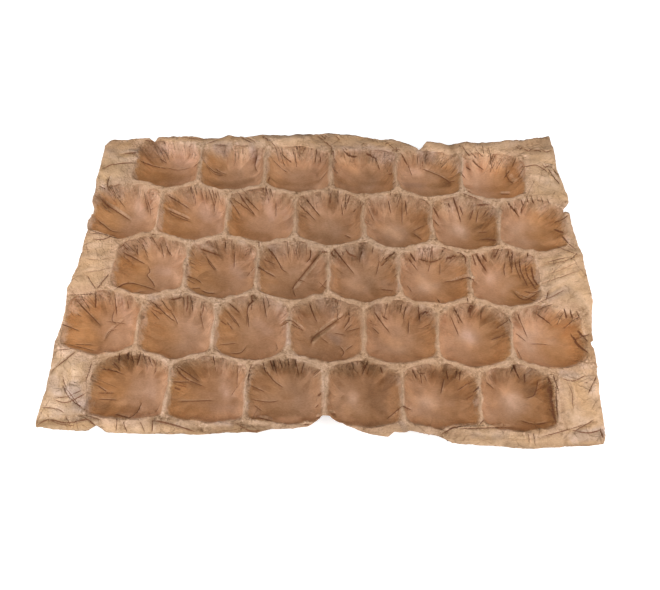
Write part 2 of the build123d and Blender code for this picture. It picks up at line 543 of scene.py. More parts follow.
    # what the paper's finish reads
    around = joined(tree, sideness, backness, pocketShift)
    for label, value, kind in (("reach", reach, "FLOAT"), ("around", around, "FLOAT_VECTOR")):
        folded = addNode(tree, "GeometryNodeStoreNamedAttribute", {
            "Geometry": folded, "Name": label, "Value": value}, data_type=kind, domain="POINT").outputs[0]
    whole = addNode(tree, "GeometryNodeRealizeInstances", {"Geometry": folded}).outputs[0]
    finished = addNode(tree, "GeometryNodeSetMaterial", {
        "Geometry": whole, "Material": given["Paper"]}).outputs[0]
    addNode(tree, "NodeGroupOutput", {"Geometry": finished})
    return tree


def bakedMesh(piece):
    return bpy.data.meshes.new_from_object(piece.evaluated_get(bpy.context.evaluated_depsgraph_get()))


def pressSheet(sheet, tree, pocketPoints, material):
    modifier = sheet.modifiers.new("press", "NODES")
    modifier.node_group = tree
    sockets = {item.name: item.identifier for item in tree.interface.items_tree if item.in_out == "INPUT"}
    for name, value in {"Pocket Points": pocketPoints, "Paper": material, **pressing}.items():
        modifier[sockets[name]] = value
    sheet.update_tag()
    return bakedMesh(sheet)


def plainCoordinates(mesh):
    values = np.empty(len(mesh.vertices) * 3, np.float32)
    mesh.vertices.foreach_get("co", values)
    return values.reshape(-1, 3).astype(float)


latticeMesh = bpy.data.meshes.new("pocketPoints")
latticeMesh.from_pydata([(x, y, 0) for x, y, _, _ in pocketCentres], [], [])
for column, label in ((2, "backSwing"), (3, "frontSwing")):
    storeValues(latticeMesh, label, [centre[column] for centre in pocketCentres])
latticeObject = bpy.data.objects.new("pocketPoints", latticeMesh)
scene.collection.objects.link(latticeObject)


# Creases: strength and half width in millimetres, then the points that they pass in the picture
creases = (
    (0.9, 1.6, (152, 420), (175, 425), (196, 432)),
    (0.7, 1.5, (236, 423), (250, 431), (262, 430)),
    (0.6, 0.9, (123, 421), (127, 434)),
    (0.5, 0.9, (140, 421), (145, 433)),
    (0.6, 0.9, (82, 414), (101, 420)),
    (0.6, 0.9, (45, 419), (60, 424), (75, 426)),
    (1.0, 0.9, (234.7, 250.7), (234, 268)),
    (0.8, 0.8, (205.5, 256), (217, 271)),
    (0.7, 1.0, (200, 249), (221, 256)),
    (1.0, 0.9, (255, 267), (247, 276)),
    (1.0, 0.9, (258, 267), (276, 277.5)),
    (0.9, 1.4, (321, 252.6), (299, 279.4), (290.7, 290.5)),
    (0.9, 0.8, (274, 256), (283, 269)),
    (0.8, 0.7, (268, 249), (274, 257)),
    (0.7, 0.7, (264, 259.5), (276, 264.6)),
    (0.9, 0.8, (309.6, 248), (310.5, 257), (306, 263)),
    (0.6, 0.7, (318, 281), (326, 289)),
    (0.9, 0.9, (333, 248), (355, 275)),
    (1.0, 0.9, (288.8, 321.5), (280, 326.6)),
    (1.0, 0.9, (291, 323.8), (304, 331)),
    (0.8, 0.8, (224, 308), (237, 324)),
    (0.8, 0.8, (228.7, 303), (240, 313)),
    (0.8, 0.7, (247.6, 313.6), (249, 328)),
    (0.9, 0.9, (263, 298), (266.6, 318)),
    (0.6, 0.7, (218.5, 345), (237, 343)),
    (0.7, 0.7, (227, 352.5), (240, 353), (247, 346)),
    (0.6, 0.7, (276, 343), (277, 350), (271, 354)),
    (0.9, 1.3, (337, 321), (314, 337), (311, 346)),
    (0.8, 0.8, (321, 338), (328, 343)),
    (0.9, 0.9, (309, 302.5), (313, 313.6), (317.5, 323)),
    (0.8, 1.0, (312, 338), (345, 315)),
    (0.8, 0.8, (406, 306), (403, 320)),
    (0.8, 0.8, (418, 305), (420, 323)),
    (0.8, 0.8, (409, 320), (408, 334)),
    (0.9, 0.9, (453.5, 308), (463, 324)),
    (0.8, 0.8, (450, 315), (459, 336)),
    (0.9, 0.9, (508.6, 320), (496, 328.6)),
    (0.8, 0.8, (506, 334), (490.6, 340)),
    (0.9, 0.9, (517, 313), (527.6, 338)),
    (0.7, 0.8, (515.5, 333), (526.7, 342)),
    (0.8, 0.8, (516.4, 348), (521.6, 359)),
    (0.8, 0.8, (412, 369), (416.5, 379)),
    (0.8, 0.8, (420, 373), (422, 384)),
    (0.9, 0.9, (444, 378.5), (440.6, 394)),
    (0.8, 0.8, (460, 371.6), (459.6, 381)),
    (0.9, 0.9, (472.5, 381), (457, 390.6)),
    (0.8, 0.8, (479, 386), (472.5, 393)),
    (1.0, 0.9, (402, 406), (387, 419)),
    (1.0, 0.9, (402, 406), (412, 410)),
    (0.8, 0.8, (486, 382), (494, 389)),
    (0.8, 0.8, (524, 374), (525, 383)),
    (0.9, 1.0, (457, 429), (515, 427)),
    (0.8, 0.9, (479, 425), (485, 419)),
    (0.9, 1.0, (440, 435), (455, 428), (480, 425)),
    (0.8, 0.8, (119.6, 352.5), (118.7, 364)),
    (0.8, 0.8, (142.8, 352.5), (146, 364)),
    (0.8, 0.9, (175, 365), (200, 382)),
    (0.8, 0.8, (368, 360), (362, 375)),
    (0.8, 0.8, (380, 367), (383, 374)),
    (1.0, 1.2, (99, 196), (103, 201), (108, 206), (113, 209), (125, 217), (131, 221)),
    (0.7, 0.9, (90, 230), (119.6, 239)),
    (0.8, 0.8, (143.6, 190), (148.6, 213)),
    (1.0, 0.9, (167, 195), (190, 209)),
    (1.0, 1.0, (165, 209), (190, 220)),
    (0.9, 0.9, (230, 200), (240, 215)),
    (0.9, 0.9, (240, 197), (255, 215)),
    (0.8, 0.8, (244, 196), (260, 212)),
    (0.9, 0.9, (306, 199), (320, 216)),
    (0.8, 0.8, (298, 203), (316, 221)),
    (0.8, 0.8, (513.7, 209), (519, 217)),
    (0.8, 0.9, (121, 251), (146, 264.6)),
    (0.8, 0.8, (113, 291), (129.5, 283), (159, 291)),
    (0.7, 0.9, (543, 263), (578, 255)),
    (0.7, 0.7, (518, 294), (541, 303)),
    (0.8, 0.9, (75, 299.4), (101, 326)),
    (0.7, 0.8, (61.5, 324), (80, 331)),
    (0.7, 0.8, (63, 343), (96, 351)),
    (0.8, 0.8, (114.6, 293), (117, 316)),
    (0.7, 0.9, (96, 289.5), (109.6, 273)),
    (0.7, 0.9, (96, 289.5), (86.4, 274.5)),
    (0.7, 0.9, (96, 289.5), (95.5, 309.4)),
    (0.6, 0.9, (68, 295), (96, 294)),
    (0.8, 1.0, (48, 374), (76, 351)),
    (0.8, 0.9, (101, 169), (110, 165), (125, 163), (138, 163)),
    (1.0, 1.2, (122, 154), (140, 152)),
    (1.0, 1.2, (145, 140), (156, 142)),
    (0.8, 0.9, (241, 137), (252, 143)),
    (0.8, 0.9, (262, 135), (270, 142)),
    (0.9, 1.0, (516, 146), (520, 149), (522, 147)),
    (0.9, 1.0, (524, 149), (529, 151), (532, 148)),
    (0.8, 1.0, (533, 151), (538, 150), (541, 152)),
    (0.8, 1.0, (541, 149), (546, 152), (551, 150)),
    (0.7, 0.9, (518, 168), (534, 165), (542, 168), (551, 174)),
    (0.9, 1.1, (553, 223), (563, 219), (568, 215)),
    (0.8, 0.9, (553, 229), (564, 233)),
    (0.6, 0.9, (554, 245), (566, 250), (579, 255)),
    (0.6, 0.9, (561, 235), (568, 243), (576, 249)),
    (0.5, 1.2, (541, 265), (564, 261), (580, 255)),
    (0.5, 1.2, (540, 284), (561, 277), (582, 269)),
    (0.5, 1.2, (535, 304), (553, 296), (567, 288)),
    (0.4, 1.0, (545, 274), (560, 270), (578, 262)),
    (0.7, 0.8, (509, 255), (510, 262), (512, 270)),
    (0.7, 0.8, (514.5, 257), (516, 267), (521, 280)),
    (0.8, 0.8, (519, 258), (521, 272), (528, 287)),
    (0.7, 0.8, (525, 260), (527, 275), (536, 290)),
    (0.7, 0.8, (531, 265), (533, 278), (539, 287)),
    (0.7, 0.8, (523, 291), (533, 293), (541, 290)),
    (0.7, 0.8, (564, 307), (565, 313), (567, 319)),
    (0.7, 0.8, (570, 309), (571, 314), (573, 319)),
    (0.6, 0.8, (576, 310), (580, 319)),
    (0.6, 0.8, (529, 344), (540, 344), (550, 345)),
    (0.6, 1.0, (558, 374), (556, 391), (558, 421)),
    (0.5, 1.0, (566, 380), (572, 392), (573, 410)),
    (0.6, 0.9, (538, 438), (570, 429), (596, 421)),
    (1.0, 1.1, (600, 428), (603, 438)),
    (0.7, 0.9, (519, 420), (535, 424), (552, 421)),
    (0.9, 1.0, (110, 175), (107.5, 185), (110, 193)),
    (0.8, 1.0, (100, 186), (106, 190)),
    (0.7, 0.9, (90, 233), (104, 234), (118, 236)),
    (0.7, 0.9, (92, 239), (104, 239), (112, 235)),
    (0.4, 1.3, (83, 272), (98, 271), (115, 267)),
    (0.4, 1.3, (84, 258), (100, 260), (112, 257)),
    (0.7, 0.8, (114.5, 310), (112, 320), (117, 324)),
    (0.7, 0.8, (127, 300), (129, 310)),
    (0.6, 0.8, (106, 321), (127, 324)),
    (0.5, 1.0, (104.6, 341), (112, 330), (126, 319)),
    (0.7, 0.9, (58, 350), (68, 349), (78, 347)),
    (0.6, 0.9, (62, 372), (65, 385), (75, 400), (81, 409)),
    (0.6, 0.9, (50, 398), (69, 396), (83, 389)),
    (0.6, 0.9, (41, 407), (57, 409), (66, 414)),
    (0.9, 1.3, (35, 427), (47, 420), (66, 423), (83, 420), (95, 418)),
    (0.9, 1.2, (82, 416), (91, 422), (99, 429)),
    (0.6, 0.9, (65, 415), (71, 429)),
    (0.5, 0.9, (117, 417), (116, 433)),
    (0.9, 1.0, (547, 167), (559, 184)),
    (0.8, 1.0, (599, 371), (588, 394)),
    (0.8, 0.9, (205, 165), (215, 174), (225, 175)),
    (0.9, 0.9, (258, 153), (255, 166), (258, 172)),
    (0.9, 0.9, (271, 157), (279, 166), (288, 173)),
    (0.7, 0.8, (282, 155), (292, 163)),
    (0.8, 0.8, (317, 148), (315, 163)),
    (0.8, 0.8, (400, 152), (408, 166)),
    (0.8, 0.9, (420, 168), (440, 176), (452, 184)),
    (0.9, 0.9, (367, 206), (374, 221)),
    (0.8, 0.8, (388, 200), (391, 214)),
    (0.8, 0.8, (405, 200), (407, 216)),
    (0.9, 0.9, (453, 197), (458, 212), (461, 223)),
    (0.9, 0.9, (478, 240), (487, 239), (497, 241)),
    (0.7, 0.8, (478, 232), (488, 232)),
    (0.8, 0.8, (433, 207), (439, 218)),
    (0.8, 0.8, (413, 233), (422, 240)),
    (0.9, 0.9, (333, 150), (334, 158), (338, 165)),
    (0.8, 0.8, (341, 203), (343, 216)),
    (0.8, 0.8, (346, 193), (345, 210)),
    (0.8, 0.8, (160, 159), (167, 163)),
    (0.9, 0.9, (140, 161), (154, 166), (168, 169)),
    (0.8, 0.8, (203, 158), (206, 164), (215, 172), (224, 174)),
    (0.7, 0.7, (320, 155), (321, 163)),
    (0.7, 0.8, (320, 180), (327, 172)),
    (0.8, 0.8, (268, 181), (270, 177)),
    (0.9, 0.9, (375, 158), (380, 170)),
    (0.8, 0.8, (388, 174), (392, 174)),
    (0.9, 0.8, (422, 160), (423, 168)),
    (0.7, 0.7, (398, 181), (402, 185)),
    (0.7, 0.7, (392, 185), (396, 181)),
    (0.9, 0.8, (462, 146), (470, 157)),
    (0.8, 0.8, (482, 146), (484, 154)),
    (0.8, 0.8, (504, 178), (510, 170)),
    (0.9, 1.0, (500, 194), (510, 194)),
    (0.8, 1.0, (466, 190), (472, 193)),
    (0.8, 0.8, (164, 208), (175, 216), (192, 222)),
    (0.8, 0.7, (191, 186), (194, 200)),
    (0.8, 0.7, (195, 186), (197, 196)),
    (0.9, 0.8, (208, 188), (214, 205), (214, 213)),
    (0.8, 0.7, (215, 192), (217, 199)),
    (0.9, 0.7, (233, 199), (246, 208), (256, 216)),
    (0.8, 0.7, (266, 185), (266, 197)),
    (0.8, 0.7, (270, 188), (273, 198)),
    (0.7, 0.7, (276, 200), (276, 217)),
    (0.7, 0.7, (305, 198), (319, 215)),
    (0.8, 0.7, (329, 188), (329, 197)),
    (0.8, 0.8, (338, 190), (338, 205)),
    (0.7, 0.8, (402, 195), (402, 225)),
    (0.8, 0.8, (459, 205), (463, 215)),
    (0.8, 0.8, (506, 201), (519, 216)),
    (0.6, 0.7, (520.7, 198), (522, 203), (524, 206)),
    (0.6, 0.7, (526, 195), (529, 204)),
    (0.7, 0.7, (531.7, 195), (532, 200), (534, 204)),
    (0.5, 0.7, (536.7, 195), (538, 203)),
    (0.6, 0.7, (541, 197), (543, 203)),
    (0.6, 0.7, (547, 198), (549, 204)),
    (0.8, 0.8, (186, 276), (196, 279), (202, 284)),
    (0.8, 0.8, (186, 279), (196, 284)),
    (0.8, 0.9, (192, 288), (201, 288)),
    (0.9, 0.9, (201, 290), (208, 293), (216, 293)),
    (0.8, 0.8, (191, 251), (195, 256)),
    (0.9, 0.8, (206, 256), (210, 264), (216, 271)),
    (0.7, 0.7, (226, 240), (225, 250)),
    (0.9, 0.8, (267, 247), (276, 258), (282, 269), (288, 273)),
    (0.8, 0.8, (306, 244), (307, 256)),
    (0.7, 0.8, (321, 252), (328, 252)),
    (0.7, 0.8, (297, 279), (306, 282)),
    (0.7, 0.8, (297, 280), (293, 289), (296, 297)),
    (0.7, 0.8, (320, 288), (327, 280)),
    (0.8, 0.8, (259, 241), (259, 247)),
    (0.8, 0.8, (190, 297), (192, 303), (193, 312)),
    (0.8, 0.8, (184, 297), (184, 308)),
    (0.9, 0.8, (256, 300), (248, 307), (247, 325)),
    (0.9, 0.8, (226, 309), (235, 320), (240, 328)),
    (0.8, 0.8, (227, 322), (233, 330)),
    (0.8, 0.8, (289, 310), (288, 316)),
    (0.7, 0.9, (73, 344), (95, 345)),
    (0.8, 0.8, (131, 352), (134, 366)),
    (0.9, 0.8, (141, 351), (137, 366)),
    (0.8, 0.8, (148, 357), (153, 367)),
    (0.8, 0.8, (98, 370), (110, 370), (125, 375)),
    (0.8, 0.8, (97, 385), (107, 392)),
    (0.8, 0.8, (98, 393), (115, 393)),
    (0.8, 0.9, (115, 414), (130, 418)),
    (0.8, 0.8, (142, 402), (137, 413)),
    (0.8, 0.9, (161, 402), (155, 412), (140, 415)),
    (0.9, 0.9, (175, 366), (185, 378), (205, 387)),
    (0.8, 0.8, (170, 382), (190, 382)),
    (0.7, 0.9, (175, 401), (195, 401), (215, 400)),
    (0.8, 0.8, (213, 355), (216, 372)),
    (0.8, 0.8, (238, 365), (237, 385)),
    (0.8, 0.9, (92, 362), (86, 380)),
    (0.9, 0.8, (263, 362), (266, 374)),
    (0.9, 0.8, (270, 360), (274, 372)),
    (0.8, 0.8, (279, 359), (283, 369)),
    (0.8, 0.7, (288, 358), (289, 368)),
    (0.8, 0.7, (296, 359), (295, 369)),
    (0.9, 0.9, (547, 376), (552, 390), (549, 404)),
    (0.9, 0.9, (553, 374), (559, 392)),
    (0.8, 0.8, (549, 408), (556, 420)),
    (0.9, 0.9, (570, 333), (578, 345), (590, 354)),
    (0.9, 0.9, (577, 330), (588, 342)),
    (0.7, 0.9, (561, 378), (573, 381), (586, 375)),
    (0.9, 1.0, (450, 282), (461, 279), (470, 278), (478, 285)),
    (0.9, 1.0, (280, 325), (290, 320), (303, 330)),
    (1.0, 1.1, (303, 425), (310, 424)),
    (1.0, 1.1, (316, 418), (320, 417)),
    (1.0, 1.1, (331, 414), (336, 414)),
    (0.9, 1.0, (122, 154), (131, 153), (139, 156)),
    (0.9, 0.9, (62, 384), (70, 398), (84, 409)),
    (0.7, 0.9, (52, 398), (66, 402), (88, 392)),
    (0.8, 0.9, (569, 429), (588, 433), (606, 428)),
    (0.7, 0.8, (94, 217), (105, 226), (112, 231), (120, 232)),
    (0.6, 0.7, (112, 189), (119, 200), (126, 208)),
    (0.8, 0.8, (147, 199), (150, 208), (151, 217)),
    (0.6, 0.8, (105, 340), (109, 332), (118, 329)),
    (0.7, 0.7, (137, 244), (138, 256)),
    (0.7, 0.7, (142, 242), (148, 258)),
    (0.7, 0.7, (160, 242), (164, 258)),
    (0.9, 0.9, (165, 240), (168, 250), (172, 256)),
    (0.8, 0.9, (148, 265), (150, 272), (147, 275), (153, 283), (155, 288)),
    (0.8, 0.8, (135, 293), (144, 291)),
    (0.9, 0.9, (150, 300), (160, 309), (170, 318), (176, 322)),
    (0.7, 0.7, (160, 297), (167, 308), (173, 312)),
    (0.7, 0.7, (150, 310), (160, 320)),
    (0.7, 0.8, (97, 399), (118, 400)),
    (0.8, 0.8, (142, 403), (138, 411), (131, 417), (126, 419)),
    (0.7, 0.8, (238, 385), (231, 396)),
    (0.9, 0.9, (262, 367), (268, 374), (275, 382), (284, 388)),
    (1.0, 0.9, (295, 360), (297, 367), (299, 376)),
    (0.8, 0.8, (304, 363), (301, 374)),
    (0.8, 0.8, (252, 363), (249, 372), (248, 382)),
    (0.7, 0.7, (250, 385), (265, 392)),
    (0.7, 0.8, (248, 397), (255, 400), (270, 402), (280, 400)),
    (0.7, 0.7, (254, 405), (262, 411)),
    (1.0, 1.0, (253, 418), (260, 418), (272, 421)),
    (0.8, 0.7, (315, 408), (319, 404)),
    (0.7, 0.7, (424, 375), (427, 382)),
    (0.8, 0.8, (446, 370), (448, 380)),
    (0.8, 0.8, (457, 370), (455, 380)),
    (0.8, 0.8, (339, 346), (344, 352), (341, 357)),
    (0.8, 0.8, (346, 350), (353, 345)),
    (0.8, 0.8, (513, 365), (516, 372), (520, 380)),
    (0.8, 0.9, (538, 380), (536, 390), (533, 396), (525, 398)),
    (1.0, 1.4, (548, 383), (550, 395), (553, 410), (556, 425)),
    (0.7, 0.8, (573, 432), (585, 425), (595, 419)),
    (0.9, 1.0, (153, 419), (152, 432)),
    (0.6, 0.7, (528, 433), (530, 444)),
    (0.6, 0.7, (533, 432), (536, 446)),
    (0.8, 0.8, (207, 144), (218, 140)),
    (0.9, 0.8, (215, 168), (220, 172), (226, 174)),
    (0.5, 0.7, (305, 147), (302, 155)),
    (0.8, 0.8, (192, 168), (201, 161)),
    (0.9, 0.9, (321, 135), (326, 139)),
    (0.9, 1.0, (336, 136), (340, 140)),
    (0.9, 1.0, (324, 141), (331, 146), (332, 156)),
    (0.8, 0.9, (343, 151), (350, 156), (358, 157)),
    (0.7, 0.8, (365, 153), (378, 160)),
    (0.7, 0.8, (366, 137), (375, 142)),
    (0.9, 0.9, (385, 144), (389, 142)),
    (0.8, 0.8, (392, 150), (400, 149)),
    (0.8, 0.7, (396, 147), (397, 152)),
    (0.7, 0.8, (408, 165), (412, 176)),
    (0.8, 0.8, (445, 184), (450, 182), (455, 181)),
    (0.8, 0.8, (352, 203), (351, 207)),
    (0.9, 0.9, (345, 235), (351, 238)),
    (0.7, 0.7, (391, 190), (390, 196)),
    (0.7, 0.8, (413, 231), (425, 225)),
    (0.8, 0.8, (433, 219), (439, 226)),
    (0.8, 0.8, (448, 203), (450, 208)),
    (0.7, 0.7, (472, 160), (478, 166), (484, 170)),
    (0.7, 0.8, (488, 147), (490, 154), (492, 160)),
    (0.9, 1.0, (542, 163), (545, 167), (550, 166), (556, 173), (560, 178)),
    (0.8, 0.8, (551, 174), (560, 185)),
    (0.6, 1.2, (508, 165), (506, 172), (509, 180), (514, 184)),
    (0.7, 0.8, (516, 158), (512, 168)),
    (0.8, 0.9, (525, 167), (521, 172), (518, 178)),
    (0.8, 0.8, (466, 167), (471, 170)),
    (0.8, 0.8, (460, 172), (467, 180)),
    (0.8, 0.9, (462, 193), (478, 199)),
    (0.6, 0.9, (476, 205), (490, 205)),
    (0.8, 0.8, (478, 210), (476, 223)),
    (0.9, 1.0, (253, 284), (254, 286)),
    (0.5, 0.7, (287, 240), (289, 260)),
    (0.7, 0.8, (200, 310), (202, 322), (204, 330)),
    (0.6, 0.7, (208, 327), (214, 321)),
    (0.8, 0.9, (170, 300), (182, 298)),
    (0.8, 0.8, (170, 311), (175, 318), (178, 325)),
    (0.9, 0.8, (331, 252), (334, 257)),
    (0.7, 0.7, (341, 250), (344, 256)),
    (0.8, 0.9, (345, 248), (349, 254), (357, 257)),
    (0.8, 0.9, (363, 251), (360, 257), (360, 263)),
    (0.7, 0.8, (373, 247), (372, 254)),
    (0.7, 0.8, (378, 255), (379, 262), (376, 275)),
    (0.8, 0.8, (384, 260), (396, 252)),
    (0.7, 0.9, (380, 289), (394, 291)),
    (0.6, 0.8, (393, 278), (398, 273)),
    (1.0, 0.9, (410, 253), (416, 262)),
    (0.8, 0.8, (408, 258), (418, 271)),
    (0.7, 0.9, (418, 259), (432, 262), (444, 257)),
    (0.9, 0.8, (443, 249), (441, 256)),
    (0.6, 0.8, (430, 264), (428, 272)),
    (0.7, 0.7, (440, 262), (440, 275)),
    (0.9, 0.9, (444, 282), (452, 281), (460, 280)),
    (0.7, 0.7, (407, 285), (412, 292)),
    (0.9, 0.9, (437, 298), (440, 303)),
    (1.0, 0.9, (349, 313), (349, 320), (344, 328)),
    (0.7, 0.7, (345, 331), (352, 324)),
    (0.8, 0.8, (348, 331), (360, 328)),
    (0.7, 0.8, (334, 333), (345, 335)),
    (0.6, 0.7, (338, 300), (337, 312), (338, 320)),
    (0.9, 0.9, (374, 312), (382, 323), (390, 333)),
    (0.8, 0.9, (382, 316), (388, 320)),
    (0.9, 0.9, (372, 327), (379, 334)),
    (0.7, 0.8, (402, 303), (400, 312)),
    (0.7, 0.8, (456, 252), (464, 256), (466, 265)),
    (0.9, 0.9, (476, 254), (481, 263), (487, 272)),
    (0.9, 0.8, (482, 255), (487, 262)),
    (0.9, 0.8, (512, 250), (512, 262), (512, 274)),
    (0.8, 0.8, (505, 262), (504, 270), (505, 276)),
    (0.8, 0.8, (509, 250), (507, 258)),
    (0.9, 0.8, (528, 252), (527, 258)),
    (0.9, 1.0, (513, 291), (520, 298), (528, 299), (540, 291)),
    (0.7, 0.8, (546, 300), (549, 290)),
    (0.9, 0.9, (467, 297), (468, 302)),
    (0.6, 0.7, (481, 310), (481, 320)),
    (0.8, 0.8, (508, 318), (512, 323)),
    (0.7, 0.8, (535, 313), (545, 320), (552, 326)),
    (0.7, 0.8, (537, 310), (553, 304)),
    (0.8, 0.9, (573, 340), (590, 334)),
    (0.8, 0.9, (570, 260), (578, 253)),
    (0.5, 0.7, (190, 187), (192, 195)),
    (0.5, 0.7, (205, 187), (207, 199)),
    (0.7, 0.8, (212, 189), (216, 204)),
    (0.6, 0.7, (217, 191), (221, 203)),
    (0.5, 0.7, (236, 190), (246, 203)),
    (0.5, 0.7, (241, 188), (252, 200)),
    (0.6, 0.8, (134, 245), (138, 256)),
    (0.5, 0.7, (141, 243), (148, 254)),
    (0.7, 0.8, (165, 243), (170, 256)),
    (0.5, 0.7, (467, 148), (478, 160)),
    (0.5, 0.7, (472, 146), (484, 158)),
    (0.5, 0.7, (487, 148), (489, 158)),
    (0.8, 1.0, (242, 136), (250, 139), (256, 143)),
    (0.7, 0.9, (262, 136), (270, 143)),
    (0.6, 0.8, (268, 139), (276, 147)),
    (0.7, 0.9, (316, 135), (322, 139), (331, 146)),
    (0.6, 0.8, (323, 134), (330, 138)),
    (0.7, 0.9, (368, 137), (378, 142)),
    (0.6, 0.8, (384, 140), (396, 150)),
    (0.5, 0.9, (165, 167), (178, 170), (193, 167)),
    (0.5, 0.8, (180, 137), (200, 139), (222, 138)),
)


# Soft broad folds: height as a share of the lip height, half width in millimetres,
# then points in the picture
softFolds = (
    (2.2, 5.0, (83, 268), (98, 268), (114, 264)),
    (-1.8, 4.0, (82, 276), (98, 276), (112, 273)),
    (1.8, 4.0, (90, 252), (104, 262), (108, 278)),
    (2.6, 5.0, (543, 270), (562, 265), (580, 259)),
    (-2.2, 4.5, (541, 277), (562, 270), (581, 264)),
    (2.6, 5.0, (538, 291), (556, 284), (580, 275)),
    (-2.2, 5.0, (548, 296), (566, 283), (583, 277)),
    (2.2, 5.0, (575, 290), (585, 310), (589, 330)),
    (2.4, 5.0, (562, 378), (575, 377), (590, 374)),
    (-2.0, 4.5, (562, 396), (578, 402), (598, 398)),
    (2.0, 5.0, (560, 412), (580, 420), (603, 418)),
    (2.4, 4.0, (45, 385), (62, 392), (84, 383)),
    (-2.4, 4.0, (44, 394), (60, 402), (84, 398)),
    (2.4, 4.0, (72, 362), (76, 380), (70, 402)),
    (2.4, 4.0, (38, 414), (60, 413), (86, 410)),
    (-2.4, 4.0, (36, 422), (60, 418), (84, 424)),
    (2.0, 4.0, (104, 144), (112, 156), (130, 161)),
    (-2.0, 4.0, (102, 164), (114, 172), (128, 178)),
    (2.2, 5.0, (172, 143), (200, 146), (232, 143)),
    (2.0, 5.0, (250, 146), (280, 140), (310, 139)),
    (-2.0, 4.0, (320, 142), (350, 146), (385, 144)),
    (2.4, 5.0, (470, 148), (495, 147), (520, 143)),
    (-2.2, 4.0, (525, 158), (540, 158), (552, 162)),
    (2.2, 5.0, (530, 175), (545, 180), (560, 186)),
    (3.2, 4.0, (166, 421), (181, 424), (198, 429)),
    (2.2, 3.5, (199, 425), (215, 428)),
    (-2.4, 4.0, (225, 426), (250, 425), (285, 427)),
    (2.4, 4.0, (440, 428), (480, 432), (530, 438)),
    (-2.0, 4.0, (450, 436), (500, 441), (560, 443)),
)


